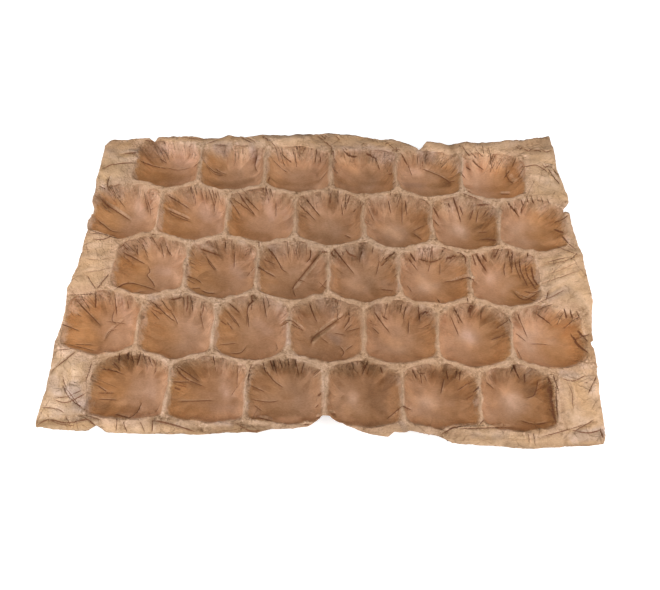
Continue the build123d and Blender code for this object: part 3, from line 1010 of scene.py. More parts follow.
# Painted light and shade, facet by facet, with greyer or warmer patches of the paper: darker or lighter,
# greyer or warmer, half width in millimetres, then points in the picture
paintedShadeAndTones = (
    (-0.5, 0.6, 3, (112, 143), (128, 144)),
    (-0.4, -1.0, 3, (110, 151), (143, 151)),
    (0.7, 0, 2.5, (123, 158.5), (136, 158.5)),
    (-0.1, 0.1, 5, (112, 172), (133, 174)),
    (-0.6, -0.1, 9, (112, 147), (132, 149)),
    (-0.5, 0, 9, (107, 165), (126, 168)),
    (-1.5, 0, 3, (109, 180), (109, 187)),
    (0, -1, 4, (104, 190), (110, 197)),
    (0.2, 1.2, 3, (102, 173), (105, 180)),
    (-1.3, 0.2, 3, (147, 142), (155, 142)),
    (-0.6, -0.8, 5, (146, 155), (164, 151)),
    (-0.3, -0.8, 4, (146, 158), (165, 164)),
    (0.5, 0.2, 5, (166, 147), (196, 150)),
    (0.4, 0.3, 4, (186, 155), (198, 157)),
    (-0.6, 0.8, 7, (145, 176), (180, 178)),
    (-0.3, -0.6, 4, (174, 165), (188, 166)),
    (-0.2, -1.0, 4, (216, 146), (230, 146)),
    (1.0, -0.3, 3, (236, 144), (237, 150)),
    (0.6, 1.0, 4, (233, 152), (246, 156)),
    (-0.3, -1.0, 4, (252, 145), (256, 158)),
    (-0.3, 0.8, 5, (208, 158), (224, 166)),
    (0.3, 0.6, 4, (243, 164), (248, 176)),
    (-0.8, 0.3, 4, (212, 181), (232, 185), (252, 180)),
    (0.6, 0.8, 7, (278, 142), (314, 145)),
    (0.4, 0.6, 6, (284, 156), (306, 160)),
    (-0.5, -0.2, 3, (316, 172), (319, 182)),
    (-0.5, 0.3, 4, (275, 181), (300, 186), (318, 182)),
    (0.2, 1.2, 3, (337, 138), (360, 139)),
    (-0.2, -0.8, 4, (344, 147), (362, 148)),
    (0.1, -1.0, 5, (368, 148), (392, 155)),
    (0.3, 1.0, 3, (378, 140), (390, 144)),
    (0.7, 0.7, 5, (345, 164), (357, 172)),
    (-0.4, 0.3, 4, (364, 168), (372, 178)),
    (-0.5, -0.3, 4, (384, 162), (394, 168)),
    (-0.7, 0.5, 4, (362, 184), (384, 183)),
    (0, 0.8, 4, (340, 180), (356, 185)),
    (-0.2, 0.5, 4, (404, 153), (416, 162)),
    (0.9, -0.2, 5, (412, 172), (420, 174)),
    (-0.4, -1.2, 3, (419, 153), (434, 156)),
    (-0.7, 0.4, 3, (424, 162), (440, 163)),
    (-0.6, -0.2, 4, (428, 172), (444, 178)),
    (-1.0, 0.4, 5, (432, 186), (447, 185)),
    (-0.4, -0.8, 4, (405, 185), (424, 186)),
    (0.8, 0.9, 5, (430, 148), (446, 154)),
    (0.5, 1.3, 3, (442, 160), (448, 167)),
    (-0.8, 0.2, 3, (451, 145), (452, 149)),
    (0.4, 0.6, 6, (470, 150), (500, 152)),
    (0.4, 0.4, 5, (480, 160), (500, 166)),
    (-1.0, 0.5, 2.5, (511, 164), (507, 173), (510, 181)),
    (-0.5, 0.5, 2, (517, 157), (513, 168)),
    (-0.7, 0.4, 5, (480, 190), (505, 188)),
    (0.7, 0.3, 5, (526, 155), (548, 157)),
    (0.7, 0.6, 5, (528, 172), (550, 178)),
    (0.5, 1.0, 3, (543, 160), (554, 163)),
    (-0.3, 0.3, 4, (528, 144), (548, 139)),
    (-1.0, -0.2, 2, (102, 200), (108, 206)),
    (0.3, 1.2, 7, (100, 213), (118, 224)),
    (0.6, 0, 5, (138, 208), (150, 220)),
    (0.8, 0, 4, (156, 195), (158, 236)),
    (0.8, -0.6, 6, (204, 208), (208, 218)),
    (-0.3, -0.6, 4, (172, 200), (184, 208)),
    (0.1, -0.6, 4, (219, 216), (220, 232)),
    (-0.4, 0.6, 6, (170, 228), (195, 234)),
    (-0.3, 0.9, 6, (233, 216), (240, 232)),
    (0.6, -0.7, 5, (266, 206), (272, 218)),
    (-0.4, 0, 4, (248, 194), (256, 196)),
    (-0.2, -0.6, 4, (284, 212), (290, 228)),
    (-0.5, 0.4, 5, (245, 234), (270, 236)),
    (-0.4, 0.8, 5, (301, 210), (304, 228)),
    (0.5, -0.2, 5, (318, 208), (330, 216)),
    (-0.5, 0.4, 5, (310, 235), (330, 237)),
    (-0.3, 0, 5, (346, 222), (352, 232)),
    (0.7, 0.9, 6, (380, 226), (398, 236)),
    (-0.6, 0, 5, (412, 218), (424, 226)),
    (-1.2, 0.3, 3, (413, 234), (419, 238)),
    (-0.3, -0.5, 4, (372, 196), (384, 202)),
    (0.9, -0.1, 6, (450, 214), (460, 230)),
    (0.1, 0.8, 4, (438, 206), (446, 216)),
    (-0.5, 0, 4, (470, 218), (474, 230)),
    (-0.7, -0.2, 5, (482, 212), (494, 216)),
    (-1.0, 0.5, 4, (476, 226), (486, 226)),
    (-0.7, 0.8, 4, (477, 238), (494, 237)),
    (0.5, 0.5, 7, (515, 212), (538, 220)),
    (-0.6, 1.0, 5, (548, 214), (558, 218)),
    (0, 1.2, 4, (556, 228), (570, 236)),
    (-0.2, 0.7, 6, (520, 236), (545, 236)),
    (0.1, 0.4, 6, (86, 266), (108, 262)),
    (0.4, -0.3, 5, (88, 245), (104, 245)),
    (0.8, 0, 2.5, (124, 243), (148, 243)),
    (-0.5, -0.7, 4, (127, 252), (134, 257)),
    (0.2, 1.2, 6, (122, 264), (142, 270)),
    (0.6, -0.8, 5, (156, 270), (168, 272)),
    (-0.2, 0.9, 4, (136, 286), (156, 289)),
    (0.7, 0.2, 3, (124, 288), (134, 288)),
    (0.6, 0, 4, (175, 250), (176, 286)),
    (-0.4, -0.3, 4, (204, 245), (220, 252)),
    (-0.8, 0.3, 2, (204, 251), (222, 257)),
    (-0.3, 0.9, 7, (204, 272), (222, 286)),
    (0.3, -0.8, 5, (234, 268), (242, 276)),
    (0.6, -0.3, 5, (242, 244), (252, 258)),
    (-0.2, 0.6, 3, (247, 280), (254, 284)),
    (-0.5, -0.8, 4, (272, 248), (284, 256)),
    (0.4, -0.2, 5, (298, 250), (306, 262)),
    (-1.2, 0.1, 2, (318, 257), (307, 272), (300, 280)),
    (0.7, 0, 2, (314, 256), (303, 270)),
    (-0.8, 0.3, 4, (312, 287), (320, 291)),
    (0, 0.9, 4, (264, 280), (276, 282)),
    (-0.3, 0.2, 4, (285, 285), (292, 292)),
    (0.5, -0.2, 5, (320, 262), (318, 274)),
    (-0.8, -0.4, 3, (345, 248), (350, 255), (358, 257)),
    (0.6, -0.2, 1.8, (349, 251), (353, 252)),
    (-0.1, 1.2, 4, (336, 268), (338, 288)),
    (0.7, 0.7, 6, (346, 282), (360, 288)),
    (-0.8, 0.3, 5, (370, 282), (376, 294)),
    (0.1, -1.0, 5, (384, 283), (395, 288)),
    (-0.3, -0.4, 4, (362, 254), (366, 262)),
    (0.5, 0, 4, (384, 252), (394, 246)),
    (0.8, -0.4, 5, (420, 248), (438, 250)),
    (-0.8, 0.2, 2, (420, 259), (432, 262), (443, 257)),
    (0.8, 0.8, 6, (420, 280), (432, 290)),
    (-1.0, 0.3, 6, (444, 284), (456, 294)),
    (-0.2, -0.6, 5, (448, 264), (456, 272)),
    (0.8, -0.3, 6, (488, 276), (500, 290)),
    (-0.8, 0.4, 4, (486, 258), (498, 262)),
    (-0.7, 0.6, 4, (524, 268), (528, 282)),
    (-0.8, 0.4, 2, (514, 292), (522, 299), (536, 297)),
    (-0.5, 0.5, 4, (510, 300), (526, 303)),
    (-0.1, 0.6, 6, (545, 262), (572, 258)),
    (0.1, 0.3, 6, (545, 282), (572, 274)),
    (-0.3, -1.2, 4, (550, 298), (568, 289)),
    (0.2, 1.8, 3, (581, 273), (583, 277)),
    (0.6, 0.7, 6, (578, 288), (588, 300)),
    (-0.2, 0.6, 5, (560, 248), (572, 252)),
    (-0.8, -0.1, 3, (78, 303), (86, 311), (100, 325)),
    (0.3, 1.4, 7, (68, 315), (84, 332)),
    (-0.6, 0, 5, (102, 301), (108, 315)),
    (0.6, -0.5, 5, (120, 302), (130, 322)),
    (-1.2, 0, 2, (140, 315), (140, 317)),
    (-0.2, -1.0, 4, (151, 297), (158, 303)),
    (-0.6, 0.4, 4, (168, 305), (180, 308)),
    (0.5, -0.3, 5, (180, 320), (195, 330)),
    (0.8, 0.1, 4, (206, 312), (214, 322)),
    (0.6, 0, 4, (211, 325), (211, 346)),
    (0, 0.7, 6, (160, 330), (180, 340)),
    (-0.4, 0.1, 4, (236, 307), (246, 315)),
    (0.1, 1.0, 5, (226, 328), (234, 338)),
    (0.4, -0.8, 5, (256, 322), (268, 332)),
    (-0.9, 0.2, 3, (252, 300), (256, 301)),
    (0.2, -0.3, 3, (272, 304), (276, 316)),
    (0.5, -0.6, 5, (280, 308), (284, 320)),
    (0.5, -0.5, 4, (286, 326), (288, 342)),
    (-0.6, 0.2, 5, (304, 306), (316, 312)),
    (-1.3, 0.4, 3, (312, 340), (318, 336)),
    (-0.8, 0.3, 2.5, (337, 321), (325, 331), (315, 337)),
    (-0.2, -1.2, 4, (330, 336), (338, 342)),
    (0.3, -0.2, 4, (342, 322), (334, 327)),
    (0, 0.9, 4, (300, 338), (308, 344)),
    (-0.2, -0.7, 6, (322, 304), (330, 314)),
    (-0.5, -0.6, 4, (372, 304), (378, 308)),
    (0.4, -0.2, 5, (386, 318), (396, 326)),
    (-0.1, 0.8, 4, (374, 322), (380, 334)),
    (0.8, 0.8, 6, (384, 338), (398, 346)),
    (-0.5, -0.4, 4, (410, 310), (420, 318)),
    (-0.3, -0.7, 4, (422, 308), (430, 318)),
    (-0.4, 0.1, 5, (408, 328), (420, 338)),
    (0.9, 0.1, 6, (466, 334), (472, 344)),
    (-0.9, 0.1, 5, (484, 322), (502, 326)),
    (-0.7, 0.2, 4, (488, 336), (502, 336)),
    (-0.5, 0.2, 4, (466, 312), (476, 318)),
    (-0.3, 0.5, 4, (448, 330), (456, 342)),
    (0.5, 0.5, 7, (530, 325), (548, 332)),
    (-0.3, 0.8, 5, (572, 318), (584, 328)),
    (-0.8, 1.2, 6, (566, 338), (588, 342)),
    (0.2, 0.3, 5, (545, 312), (556, 318)),
    (0.5, -0.2, 3, (588, 300), (590, 322)),
    (0.6, 0.1, 6, (64, 352), (78, 360)),
    (1.0, 1.5, 6, (78, 314), (82, 329), (90, 338)),
    (0.5, 1.4, 5, (68, 338), (78, 346), (94, 348)),
    (0.6, -0.2, 7, (52, 404), (58, 412)),
    (0.3, -1.2, 6, (73, 386), (78, 406)),
    (-0.5, 0.3, 2.6, (42, 425), (58, 420.5), (72, 423), (92, 425)),
    (0.6, 0.2, 5, (56, 366), (66, 350)),
    (-0.7, 0.2, 1.6, (50, 374), (62, 362), (77, 350)),
    (0.5, 0.2, 1.8, (54, 376), (66, 365), (80, 353)),
    (-1.1, -0.3, 2.6, (153, 422), (170, 423.5), (188, 428)),
    (-0.9, 0.2, 1.0, (152, 419), (172, 420), (196, 429)),
    (-0.9, 0, 3, (190, 430), (230, 430), (268, 429)),
    (-0.6, 0, 3, (100, 425), (128, 429)),
    (-0.7, 0, 4, (440, 432), (470, 437), (498, 440)),
    (-0.5, 0, 3, (370, 425), (412, 429)),
    (0.9, 0, 4, (280, 420), (298, 419)),
    (-0.8, 0, 6, (382, 395), (382, 410)),
    (-0.8, 0, 6, (455, 400), (455, 410)),
    (0.9, 0.2, 8, (562, 318), (572, 335)),
    (1.0, 0, 4, (548, 244), (566, 240)),
    (0.8, 0.6, 6, (64, 318), (66, 332)),
    (-0.5, 0, 4, (444, 172), (444, 182)),
    (0.5, 0, 4, (455, 180), (455, 190)),
    (-0.6, 0, 4, (468, 170), (470, 180)),
    (-0.7, 0, 4, (460, 197), (468, 200)),
    (-0.5, -0.5, 5, (446, 274), (458, 282)),
    (-0.7, 0, 5, (380, 315), (402, 320)),
    (0.5, 0, 4, (522, 265), (532, 285)),
    (0.4, 0, 6, (118, 262), (112, 285)),
    (-0.6, 0, 5, (98, 168), (112, 166)),
    (-0.4, 0, 4, (120, 158), (134, 154)),
    (0.5, 0, 4, (135, 168), (142, 172)),
    (0.4, 0, 4, (298, 148), (300, 156)),
    (-0.4, 0, 5, (368, 174), (380, 178)),
    (0.45, 0, 3, (275, 184), (300, 188), (325, 187)),
    (0.35, 0, 3, (205, 175), (222, 182)),
    (0.6, 0, 4, (538, 302), (544, 310)),
    (0.5, 0, 4, (466, 306), (474, 309)),
    (0.5, 0, 4, (546, 388), (552, 408)),
    (0.4, 0, 3, (492, 372), (514, 374)),
    (-0.35, 0, 5, (178, 312), (184, 320)),
    (-0.35, 0, 5, (250, 314), (252, 322)),
    (-0.4, 0, 4, (204, 340), (212, 352)),
    (0.4, 0, 4, (312, 320), (314, 336)),
    (0.35, 0.2, 6, (384, 332), (392, 340)),
    (0.35, 0, 5, (354, 262), (358, 284)),
    (0.3, 0, 6, (318, 214), (324, 228)),
    (0.4, 0, 4, (488, 212), (492, 226)),
    (0.35, 0, 3, (150, 241), (172, 243)),
    (-0.3, 0, 5, (416, 338), (426, 348)),
    (0.2, -0.9, 7, (165, 160), (195, 155)),
    (0, -0.8, 9, (190, 208), (212, 214)),
    (0.3, -0.6, 6, (138, 206), (142, 216)),
    (0.3, -0.6, 6, (270, 205), (274, 216)),
    (0, -0.6, 8, (500, 276), (512, 282)),
    (0, -0.7, 8, (468, 332), (476, 340)),
    (0, -0.8, 8, (540, 328), (562, 340)),
    (0, -0.7, 6, (468, 390), (470, 412)),
    (0, -0.4, 5, (422, 390), (428, 400)),
    (0, 0.8, 6, (362, 405), (372, 416)),
    (0, 0.8, 4, (480, 426), (545, 430)),
    (0, 0.6, 7, (315, 342), (330, 345)),
    (0, 0.8, 6, (98, 340), (108, 344)),
    (0, 0.6, 5, (110, 360), (130, 360)),
    (0, 0.5, 6, (530, 198), (560, 200)),
    (0, 0.6, 5, (365, 155), (378, 158)),
    (-0.5, 0.7, 2.5, (160, 140), (200, 139), (238, 138)),
    (0, 0.6, 3, (262, 138), (295, 137)),
    (0.3, 0.3, 12, (80, 305), (84, 335)),
    (0.25, 0.2, 10, (110, 300), (116, 335)),
    (0.6, 0.2, 3, (60, 346), (98, 352)),
    (0.4, 0.2, 5, (165, 412), (200, 414), (236, 412)),
    (-1.3, 0, 4, (190, 429), (230, 430), (268, 428)),
    (0.8, 0, 4, (280, 420), (298, 419)),
    (0.5, 0.3, 5, (336, 398), (348, 408)),
    (-0.6, 0.3, 4, (584, 308), (592, 342)),
    (1.0, 0, 5, (545, 246), (562, 242)),
    (-0.4, 0, 3, (385, 368), (405, 362)),
    (-0.6, 0, 3, (535, 372), (548, 370)),
    (-0.35, 0, 8, (408, 232), (425, 252)),
    (-0.5, 0, 4, (368, 248), (382, 250)),
    (-0.5, 0, 3, (335, 249), (352, 249)),
    (-0.7, 0, 4, (562, 412), (568, 422)),
    (0.35, 0, 7, (308, 214), (318, 232)),
    (0.45, 0.4, 6, (105, 186), (114, 200)),
    (-0.4, 0, 4, (226, 146), (234, 150)),
    (-0.35, 0, 4, (408, 150), (412, 165)),
    (-0.4, 0.3, 4, (535, 193), (565, 195)),
    (0.4, 0.2, 6, (560, 335), (572, 352)),
    (0.5, 0, 5, (350, 180), (356, 192)),
    (0.4, 0, 6, (375, 158), (385, 152)),
    (-0.4, 0, 4, (325, 172), (330, 168)),
    (0.4, 0.1, 6, (540, 212), (552, 226)),
    (0.5, 0, 3, (490, 372), (516, 374)),
    (-0.4, 0, 3, (130, 236), (148, 235)),
    (-0.35, 0, 3, (240, 238), (256, 240)),
    (0.6, -0.3, 4, (108, 143), (125, 142)),
    (0.4, 0.3, 5, (500, 385), (520, 398)),
    (-0.5, 0, 5, (408, 392), (412, 402)),
    (-0.6, 0, 5, (588, 345), (592, 355)),
    (0.8, 0, 5, (594, 378), (597, 392)),
    (0.5, 0, 5, (566, 338), (576, 346)),
    (0.5, 0, 4, (66, 398), (74, 400)),
    (-0.5, 0, 4, (410, 428), (428, 424)),
    (0.6, 0.2, 5, (345, 415), (354, 425)),
    (0.4, 0, 4, (60, 302), (100, 297)),
    (-0.4, 0, 5, (574, 308), (585, 312)),
    (-0.5, 0.3, 3, (556, 170), (562, 186)),
    (0.4, 0, 6, (352, 395), (358, 410)),
    (0.35, 0, 8, (92, 215), (100, 238)),
    (0.8, 0.4, 5, (107, 424), (124, 428)),
    (0.9, 0.5, 3.5, (214, 428), (240, 429)),
    (0.5, -1.8, 5, (575, 437), (594, 434), (604, 430)),
    (0.2, 0.8, 8, (576, 388), (586, 402), (590, 414)),
    (-1.2, 0.2, 1.4, (566, 442), (580, 430), (602, 419)),
    (0, -0.9, 6, (50, 376), (58, 392)),
    (0.7, 0.6, 4, (68, 370), (80, 371)),
    (-0.3, -1.2, 6, (70, 388), (84, 404)),
    (-0.7, -0.8, 2.5, (71, 384), (73, 385)),
    (-0.7, -0.8, 3, (74, 405), (82, 410)),
    (0.9, 0.2, 4, (46, 401), (54, 405)),
    (0.1, 1.4, 3, (44, 411), (49, 414)),
    (-0.3, -0.4, 3, (66, 419), (78, 420)),
    (-1.2, -0.2, 3, (84, 417), (96, 418)),
    (0.1, 0.9, 2.5, (83, 425), (90, 426)),
    (-1.6, 0.4, 3, (36, 423), (43, 423)),
    (-1.3, 0.2, 3, (50, 423), (60, 423)),
    (0, 1.2, 2, (67, 426), (78, 426)),
    (-0.6, 0.3, 5, (103, 360), (114, 363)),
    (-1.3, 0.3, 5, (123, 357), (130, 364)),
    (0.5, -0.5, 6, (150, 368), (152, 394)),
    (0.2, 1.0, 7, (102, 378), (120, 392)),
    (-0.7, -0.6, 4, (92, 402), (106, 408)),
    (-0.6, 0.2, 5, (108, 408), (134, 410)),
    (0.8, 0, 3, (115, 403), (124, 403)),
    (0.8, 0, 3.5, (164, 362), (164, 412)),
    (0.4, 0, 5, (128, 378), (138, 392)),
    (-1.2, 0.2, 6, (184, 365), (202, 372)),
    (0.6, -0.5, 6, (222, 370), (228, 395)),
    (0.6, -0.6, 3, (222, 388), (226, 393)),
    (0.2, 1.0, 6, (176, 388), (188, 394)),
    (-0.3, 0.6, 5, (175, 406), (205, 412)),
    (0.1, -0.6, 5, (214, 408), (236, 410)),
    (0.8, 0, 4, (242, 366), (243, 412)),
    (0.6, 0, 2.5, (219, 354), (223, 356)),
    (-1.2, 0.2, 6, (268, 362), (296, 368)),
    (-0.2, -1.0, 4, (249, 404), (256, 412)),
    (0.7, -0.1, 5, (306, 368), (312, 376)),
    (0.3, 0.5, 6, (270, 388), (290, 396)),
    (-0.4, 0.4, 5, (264, 410), (292, 414)),
    (0.2, 1.0, 4, (303, 420), (313, 424)),
    (0.6, 0, 4, (322, 370), (322, 405)),
    (1.1, -0.1, 6, (346, 390), (354, 396)),
    (-1.0, 0.2, 5, (340, 368), (354, 374)),
    (-1.2, 0.2, 5, (368, 365), (376, 372)),
    (0, -1.2, 4, (388, 379), (396, 381)),
    (-0.8, 0.4, 5, (371, 388), (373, 404)),
    (0.1, 1.0, 6, (348, 410), (364, 418)),
    (-1.0, 0.2, 6, (436, 376), (452, 384)),
    (-0.6, 0.2, 4, (440, 392), (448, 398)),
    (1.0, 0.7, 6, (426, 396), (434, 406)),
    (0.2, 1.0, 5, (416, 420), (442, 424)),
    (0.4, 0.5, 5, (410, 392), (416, 404)),
    (-0.4, -1.0, 5, (524, 378), (530, 390)),
    (0.9, 0.2, 6, (506, 392), (514, 402)),
    (0.1, 1.0, 5, (490, 390), (493, 404)),
    (-0.7, 0.2, 3, (549, 386), (551, 398), (555, 420)),
    (-0.7, 0.4, 4, (516, 431), (540, 430)),
    (-0.9, 0.2, 4, (500, 372), (516, 374)),
    (-0.4, 0.5, 5, (500, 420), (525, 418)),
    (0.1, -0.1, 7, (564, 384), (576, 408)),
    (-0.1, -0.6, 6, (588, 380), (594, 405)),
    (-0.3, -1.2, 4, (562, 374), (576, 376)),
    (0.1, -0.5, 3, (583, 366), (593, 367)),
    (-0.8, -2.2, 5, (580, 435), (598, 434)),
    (0.2, -0.6, 4, (567, 437), (574, 438)),
    (-0.3, 1.2, 5, (572, 352), (590, 354)),
    (0.4, 0.2, 5, (560, 420), (580, 415)),
    (0.6, 0.6, 3, (105, 426), (118, 427)),
    (0.7, 0.2, 3.5, (130, 427), (138, 428)),
    (-1.8, -0.2, 3, (153, 420.5), (171, 422)),
    (0.8, 0, 2.5, (178, 424), (195, 428)),
    (-0.9, -0.2, 1.6, (184, 432), (197, 432)),
    (0.6, 0, 2.5, (201, 426), (213, 427)),
    (-0.2, -1.0, 3, (217, 423), (230, 425)),
    (-1.4, 0, 3, (234, 423), (243, 425)),
    (0.3, 0.4, 2, (249, 422.5), (268, 422.5)),
    (-1.0, 0, 2, (249, 429), (270, 429.5)),
    (0.1, 0.3, 4, (284, 421), (298, 422)),
    (-1.8, 0, 2, (332, 414), (335, 416)),
    (-0.3, -1.2, 3, (402, 424), (405, 430)),
    (-0.5, -1.0, 2.5, (474, 435), (484, 437)),
    (-0.5, -1.0, 2.5, (494, 437), (500, 438)),
    (0.3, 1.2, 4, (512, 436), (528, 440)),
    (-1.0, -0.2, 1.8, (505, 445), (545, 445.5), (594, 445.5)),
    (-0.9, 0.2, 1.6, (518, 146), (532, 150), (550, 150)),
    (-0.5, 0, 4, (452, 146), (456, 160)),
    (0.5, 0.3, 5, (172, 150), (195, 153)),
    (-0.5, 0.5, 3, (312, 136), (330, 140)),
    (-0.4, 0.4, 3, (360, 138), (395, 146)),
    (0.4, 0.8, 6, (340, 160), (356, 164)),
    (0.4, 0.5, 7, (480, 158), (500, 160)),
)


def pixelRay(pixel):
    width, height = cameraSetup["imageSize"]
    focal = cameraSetup["pixelFocal"]
    return (viewForward + viewRight * ((pixel[0] - width / 2) / focal)
            + viewDown * ((pixel[1] - height / 2) / focal)).normalized()


# Steps along the lines: in pixels, then in metres
spacings = {"pixels": 1.2, "strokes": 0.0015, "folds": 0.0014}
creaseWidthScale = 0.0009  # metres for each stated millimetre
creaseMerge = 0.00025


def castCreases(flatObject, pressedMesh):
    flatPlaces = plainCoordinates(flatObject.data)
    pressedPlaces = plainCoordinates(pressedMesh)
    faces = [tuple(polygon.vertices) for polygon in pressedMesh.polygons]
    tree = BVHTree.FromPolygons([Vector(place) for place in pressedPlaces], faces)
    eye = Vector(cameraSetup["place"])
    found, values, edges = [], [], []
    softLines, toneLines = [], []

    # an entry begins with so many looks, and the rest are its pixels
    def laidFlat(table, count):
        for entry in table:
            looks, pixels, line = entry[:count], entry[count:], []
            for pixel in evenLine(smoothRun(pixels), spacings["pixels"]):
                hit, _, face, _ = tree.ray_cast(eye, pixelRay(pixel))
                if hit is None:
                    continue
                corners = faces[face]
                weights = cornerWeights(hit, [pressedPlaces[corner] for corner in corners])
                line.append(sum(weight * flatPlaces[corner][:2] for weight, corner in zip(weights, corners)))
            if len(line) > 1:
                yield *looks, np.array(line)
            else:
                print("off the paper", pixels)

    for strength, halfWidth, line in laidFlat(creases, 2):
        addFold(line, strength, halfWidth * creaseWidthScale, (found, values, edges))
        toneLines += foldShades(line, strength)
    for strength, halfWidth, line in laidFlat(softFolds, 2):
        softLines.append((strength, halfWidth / perMetre, evenLine(line, spacings["strokes"])))
    for tone, warmth, halfWidth, line in laidFlat(paintedShadeAndTones, 3):
        toneLines.append((tone, warmth, halfWidth / perMetre, evenLine(line, spacings["strokes"])))
    addFineCreases(fineCreases, (found, values, edges))
    addMarginStars(marginStars, (found, values, edges))
    return (*mergeClose(np.array(found), np.array(values), edges, creaseMerge), softLines, toneLines)


# painted shade on one side of a crease and painted light on the other: how far aside, tone, warmth and half
# width
besideCreases = ((-0.0012, -0.36, 0.2, 0.0017), (0.0021, 0.3, -0.1, 0.0017))


def asideOf(line):
    ahead = np.gradient(line, axis=0)
    ahead /= np.maximum(np.hypot(ahead[:, 0], ahead[:, 1]), 1e-9)[:, None]
    return np.column_stack([-ahead[:, 1], ahead[:, 0]])


def foldShades(line, strength):
    line = evenLine(line, spacings["strokes"])
    aside = asideOf(line)
    return [(tone * strength, warmth * strength, halfWidth, line + aside * away)
            for away, tone, warmth, halfWidth in besideCreases]


def closeTo(places, line, halfWidth):
    close = np.flatnonzero(np.all((places > line.min(axis=0) - 2 * halfWidth)
                                  & (places < line.max(axis=0) + 2 * halfWidth), axis=1))
    apart = np.hypot(*(places[close][:, None, :] - line[None, :, :]).transpose(2, 0, 1))
    return close, apart.argmin(axis=1), apart.min(axis=1) / halfWidth


softEdges = {"taper": 0.006, "leastShare": 0.1, "falloff": 2.2}


def addSoftFolds(sheet, softLines):
    places = plainCoordinates(sheet.data)[:, :2]
    layer = sheet.data.attributes["lip"]
    lips = np.empty(len(places), np.float32)
    layer.data.foreach_get("value", lips)
    for strength, halfWidth, line in softLines:
        steps = np.arange(len(line))
        toEnd = np.minimum(steps, steps[::-1]) * spacings["strokes"]
        ends = np.minimum(1, toEnd / softEdges["taper"] + softEdges["leastShare"])
        close, nearest, away = closeTo(places, line, halfWidth)
        lips[close] += strength * ends[nearest] * np.exp(-softEdges["falloff"] * away * away)
    layer.data.foreach_set("value", lips)


toneEdges = {"wobble": 0.0012, "wobbleScale": 260.0, "falloff": 1.5, "limit": 1.35}


def addTones(sheet, toneLines):
    places = plainCoordinates(sheet.data)[:, :2]
    wobble = [noise.noise_vector(Vector((x, y, 0)) * toneEdges["wobbleScale"])[:2] for x, y in places]
    places = places + np.array(wobble) * toneEdges["wobble"]
    sums = {"tone": np.zeros(len(places)), "warmth": np.zeros(len(places))}
    for tone, warmth, halfWidth, line in toneLines:
        close, _, away = closeTo(places, line, halfWidth)
        share = np.exp(-toneEdges["falloff"] * away ** 4)
        sums["tone"][close] += tone * share
        sums["warmth"][close] += warmth * share
    limit = toneEdges["limit"]
    for label, values in sums.items():
        storeValues(sheet.data, label, limit * np.tanh(values / limit))


def cornerWeights(point, corners):
    a, b, c = (np.array(corner) for corner in corners)
    point = np.array(point)
    normal = np.cross(b - a, c - a)
    area = normal.dot(normal)
    first = np.cross(c - b, point - b).dot(normal) / area
    second = np.cross(a - c, point - c).dot(normal) / area
    return first, second, 1 - first - second


def smoothRun(points, steps=6):
    if len(points) < 3:
        return points
    run = [points[0]] + list(points) + [points[-1]]
    out = []
    for before, start, end, after in zip(run, run[1:], run[2:], run[3:]):
        for step in range(steps):
            t = step / steps
            out.append([0.5 * ((2 * start[axis]) + (end[axis] - before[axis]) * t
                               + (2 * before[axis] - 5 * start[axis] + 4 * end[axis] - after[axis]) * t * t
                               + (3 * start[axis] - before[axis] - 3 * end[axis] + after[axis]) * t ** 3)
                        for axis in (0, 1)])
    out.append(points[-1])
    return out


# across a fold: distance in half widths, groove, raised lip
foldSections = {
    "fine": ((0, 1, 0), (-1, 0, 0.35), (1, 0, 1)),
    "plain": ((0, 1, 0), (-1, 0, 0.35), (1, 0, 1), (2.6, 0, 0), (-2.6, 0, 0)),
    "wide": ((0, 1, 0), (-0.8, 0, 0.3), (-2, 0, 0), (0.8, 0, 1), (1.8, 0, 2.2), (2.9, 0, 1.8), (4, 0, 0.3),
             (5.2, 0, 0)),
}
foldEnds = {"taper": 5, "leastShare": 0.15, "leastWidth": 0.55, "addedWidth": 0.45, "wideFrom": 0.00085}


def addFold(line, strength, halfWidth, folds, fine=False):
    found, values, edges = folds
    line = evenLine(line, spacings["folds"])
    aside = asideOf(line)
    share = np.linspace(0, 1, len(line))
    taper = np.minimum(1, np.minimum(share, 1 - share) * foldEnds["taper"] + foldEnds["leastShare"])
    section = foldSections["fine" if fine else "wide" if halfWidth > foldEnds["wideFrom"] else "plain"]
    for offset, depth, lip in section:
        if depth:
            edges += [(len(found) + number, len(found) + number + 1) for number in range(len(line) - 1)]
        for point, side, thin in zip(line, aside, taper):
            width = foldEnds["leastWidth"] + foldEnds["addedWidth"] * thin
            found.append(point + side * offset * halfWidth * width)
            values.append((depth * strength * thin, lip * strength * thin))


# one crease by rule, bent a little
def addBentFold(place, heading, values, draw, folds, fine=False):
    length, bend, steps = draw.uniform(*values["lengths"]), draw.normal(0, values["bend"]), values["steps"]
    line = [place]
    for _ in range(steps):
        line.append(line[-1] + length / steps * np.array([math.cos(heading), math.sin(heading)]))
        heading += bend * length / steps
    strength = draw.uniform(*values["strengths"])
    addFold(np.array(line), strength, draw.uniform(*values["halfWidths"]), folds, fine)


fineCreases = {
    "clusters": (3, 6),
    "cornerTurns": (35, 90, 145),
    "turnSpread": 16,
    "borderShares": (0.84, 0.96),
    "perCluster": (2, 5),
    "apart": (0.0012, 0.0028),
    "drift": 0.06,
    "lengths": (0.003, 0.012),
    "steps": 6,
    "halfWidths": (0.0002, 0.0004),
    "strengths": (0.15, 0.7),
    "skew": 0.25,
    "spread": 0.12,
    "bend": 30.0,
    "seed": 23,
}


